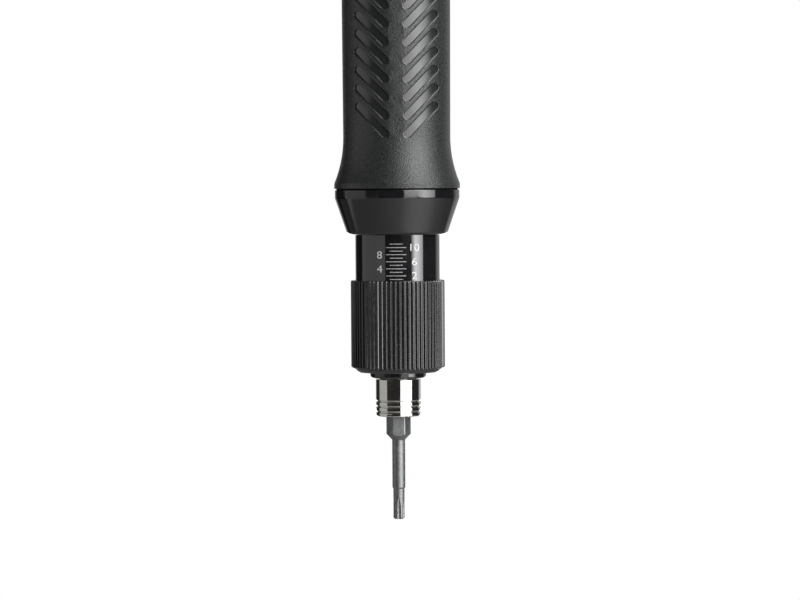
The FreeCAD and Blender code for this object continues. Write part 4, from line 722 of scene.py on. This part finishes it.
# studio: white paper behind, a dark room in front; the camera sees plain white all round
studio = {"paperTo": (0.216, 0.976, 0.0), "paperStart": 0.74, "paperFull": 0.88, "paper": 0.48,
          "room": 0.021, "fill": 0.105}
world = bpy.data.worlds.new("studio")
bpy.context.scene.world = world
world.use_nodes = True
tree = world.node_tree
background = tree.nodes["Background"]
coord = tree.nodes.new("ShaderNodeTexCoord")
towards = tree.nodes.new("ShaderNodeVectorMath")
towards.operation = "DOT_PRODUCT"
towards.inputs[1].default_value = studio["paperTo"]
join(tree, coord, "Generated", towards, 0)
paper = addRange(tree, towards, "Value", studio["paperStart"], studio["paperFull"], 0.0, studio["paper"])
path = tree.nodes.new("ShaderNodeLightPath")
ambient = addRange(tree, path, "Is Diffuse Ray", 0.0, 1.0, studio["room"], studio["fill"])
lit = tree.nodes.new("ShaderNodeMath")
lit.operation = "MAXIMUM"
join(tree, paper, "Result", lit, 0)
join(tree, ambient, "Result", lit, 1)
seen = tree.nodes.new("ShaderNodeMath")
seen.operation = "MAXIMUM"
join(tree, lit, "Value", seen, 0)
join(tree, path, "Is Camera Ray", seen, 1)
join(tree, seen, "Value", background, "Strength")
background.inputs["Color"].default_value = (1.0, 1.0, 1.0, 1.0)

# lamps: softbox on the right with its edge and foot, a low one for the cone, dim panels left, one behind
panels = {
    "keySoftbox": {"azimuth": 56.0, "elevation": 26.0, "away": 1.20, "wide": 0.86, "tall": 1.90,
                   "radiance": 5.32,
                   "ramp": ((0.0, 0.10), (0.34, 1.0), (0.6, 0.80), (0.85, 0.54), (1.0, 0.40))},
    "keyEdge": {"azimuth": 31.0, "elevation": 18.1, "away": 1.25, "wide": 0.84, "tall": 0.82,
                "radiance": 4.34, "ramp": ((0.0, 0.76), (0.63, 1.05), (1.0, 0.10))},
    "keyFoot": {"azimuth": 24.5, "elevation": -11.9, "away": 1.25, "wide": 0.57, "tall": 0.26,
                "radiance": 2.1},
    "conePanel": {"azimuth": 48.0, "elevation": -38.0, "away": 0.60, "wide": 0.72, "tall": 0.25,
                  "radiance": 0.30, "ramp": ((0.0, 0.10), (0.3, 0.9), (0.55, 1.0), (1.0, 0.10))},
    "leftPanel": {"azimuth": -86.0, "elevation": 1.0, "away": 1.1, "wide": 1.08, "tall": 1.06,
                  "radiance": 0.364, "colour": (1.0, 0.99, 0.96)},
    "leftBrow": {"azimuth": -92.0, "elevation": 6.0, "away": 1.1, "wide": 1.10, "tall": 0.20,
                 "radiance": 0.32, "colour": (0.97, 1.0, 1.0)},
    "rearPanel": {"azimuth": 180.0, "elevation": -14.5, "away": 1.25, "wide": 0.80, "tall": 0.32,
                  "radiance": 2.8},
    "leftStrip": {"azimuth": -46.8, "elevation": -2.6, "away": 1.12, "wide": 0.52, "tall": 0.08,
                  "radiance": 0.40, "colour": (1.0, 0.99, 0.96)},
}
aim = Vector((0.0, 0.0, 0.06))        # every lamp points at the nose ring


# a softbox fades across its width; each stop is (place across, share of the panel's radiance)
def fadePanel(lamp, stops):
    lamp.use_nodes = True
    tree = lamp.node_tree
    place = tree.nodes.new("ShaderNodeNewGeometry")
    across = tree.nodes.new("ShaderNodeSeparateXYZ")
    ramp = tree.nodes.new("ShaderNodeValToRGB")
    join(tree, place, "Parametric", across, "Vector")
    join(tree, across, "X", ramp, "Fac")
    for i, (where, share) in enumerate(stops):
        stop = ramp.color_ramp.elements[i] if i < 2 else ramp.color_ramp.elements.new(where)
        stop.position = where
        stop.color = (share, share, share, 1.0)
    join(tree, ramp, "Color", tree.nodes["Emission"], "Color")


for panelName, panel in panels.items():
    lamp = bpy.data.lights.new(panelName, "AREA")
    lamp.shape = "RECTANGLE"
    lamp.size = panel["wide"]
    lamp.size_y = panel["tall"]
    lamp.energy = panel["radiance"] * math.pi * panel["wide"] * panel["tall"]
    lamp.color = panel.get("colour", (1.0, 1.0, 1.0))
    if "ramp" in panel:
        fadePanel(lamp, panel["ramp"])
    holder = bpy.data.objects.new(panelName, lamp)
    bpy.context.scene.collection.objects.link(holder)
    turn = math.radians(panel["azimuth"])
    rise = math.radians(panel["elevation"])
    out = Vector((math.sin(turn) * math.cos(rise), -math.cos(turn) * math.cos(rise), math.sin(rise)))
    holder.location = aim + out * panel["away"]
    holder.rotation_euler = (-out).to_track_quat("-Z", "Y").to_euler()
    holder.visible_camera = False

# camera: level with the nose ring, tipped down to frame the bit, rolled a little as in the photo
shot = {"away": 0.780, "side": 0.00065, "height": 0.0639, "aimHeight": 0.0336, "roll": -0.36,
        "lens": 121.1, "sensor": 36.0}
lens = bpy.data.cameras.new("camera")
lens.sensor_width = shot["sensor"]
lens.lens = shot["lens"]
camera = bpy.data.objects.new("camera", lens)
bpy.context.scene.collection.objects.link(camera)
camera.location = (shot["side"], -shot["away"], shot["height"])
pitch = math.atan2(shot["aimHeight"] - shot["height"], shot["away"])
turnUp = Matrix.Rotation(math.pi / 2 + pitch, 3, "X")
camera.rotation_euler = (turnUp @ Matrix.Rotation(math.radians(shot["roll"]), 3, "Z")).to_euler()
bpy.context.scene.camera = camera
bpy.context.scene.view_settings.view_transform = "Standard"
print("floor, lamps and camera set")
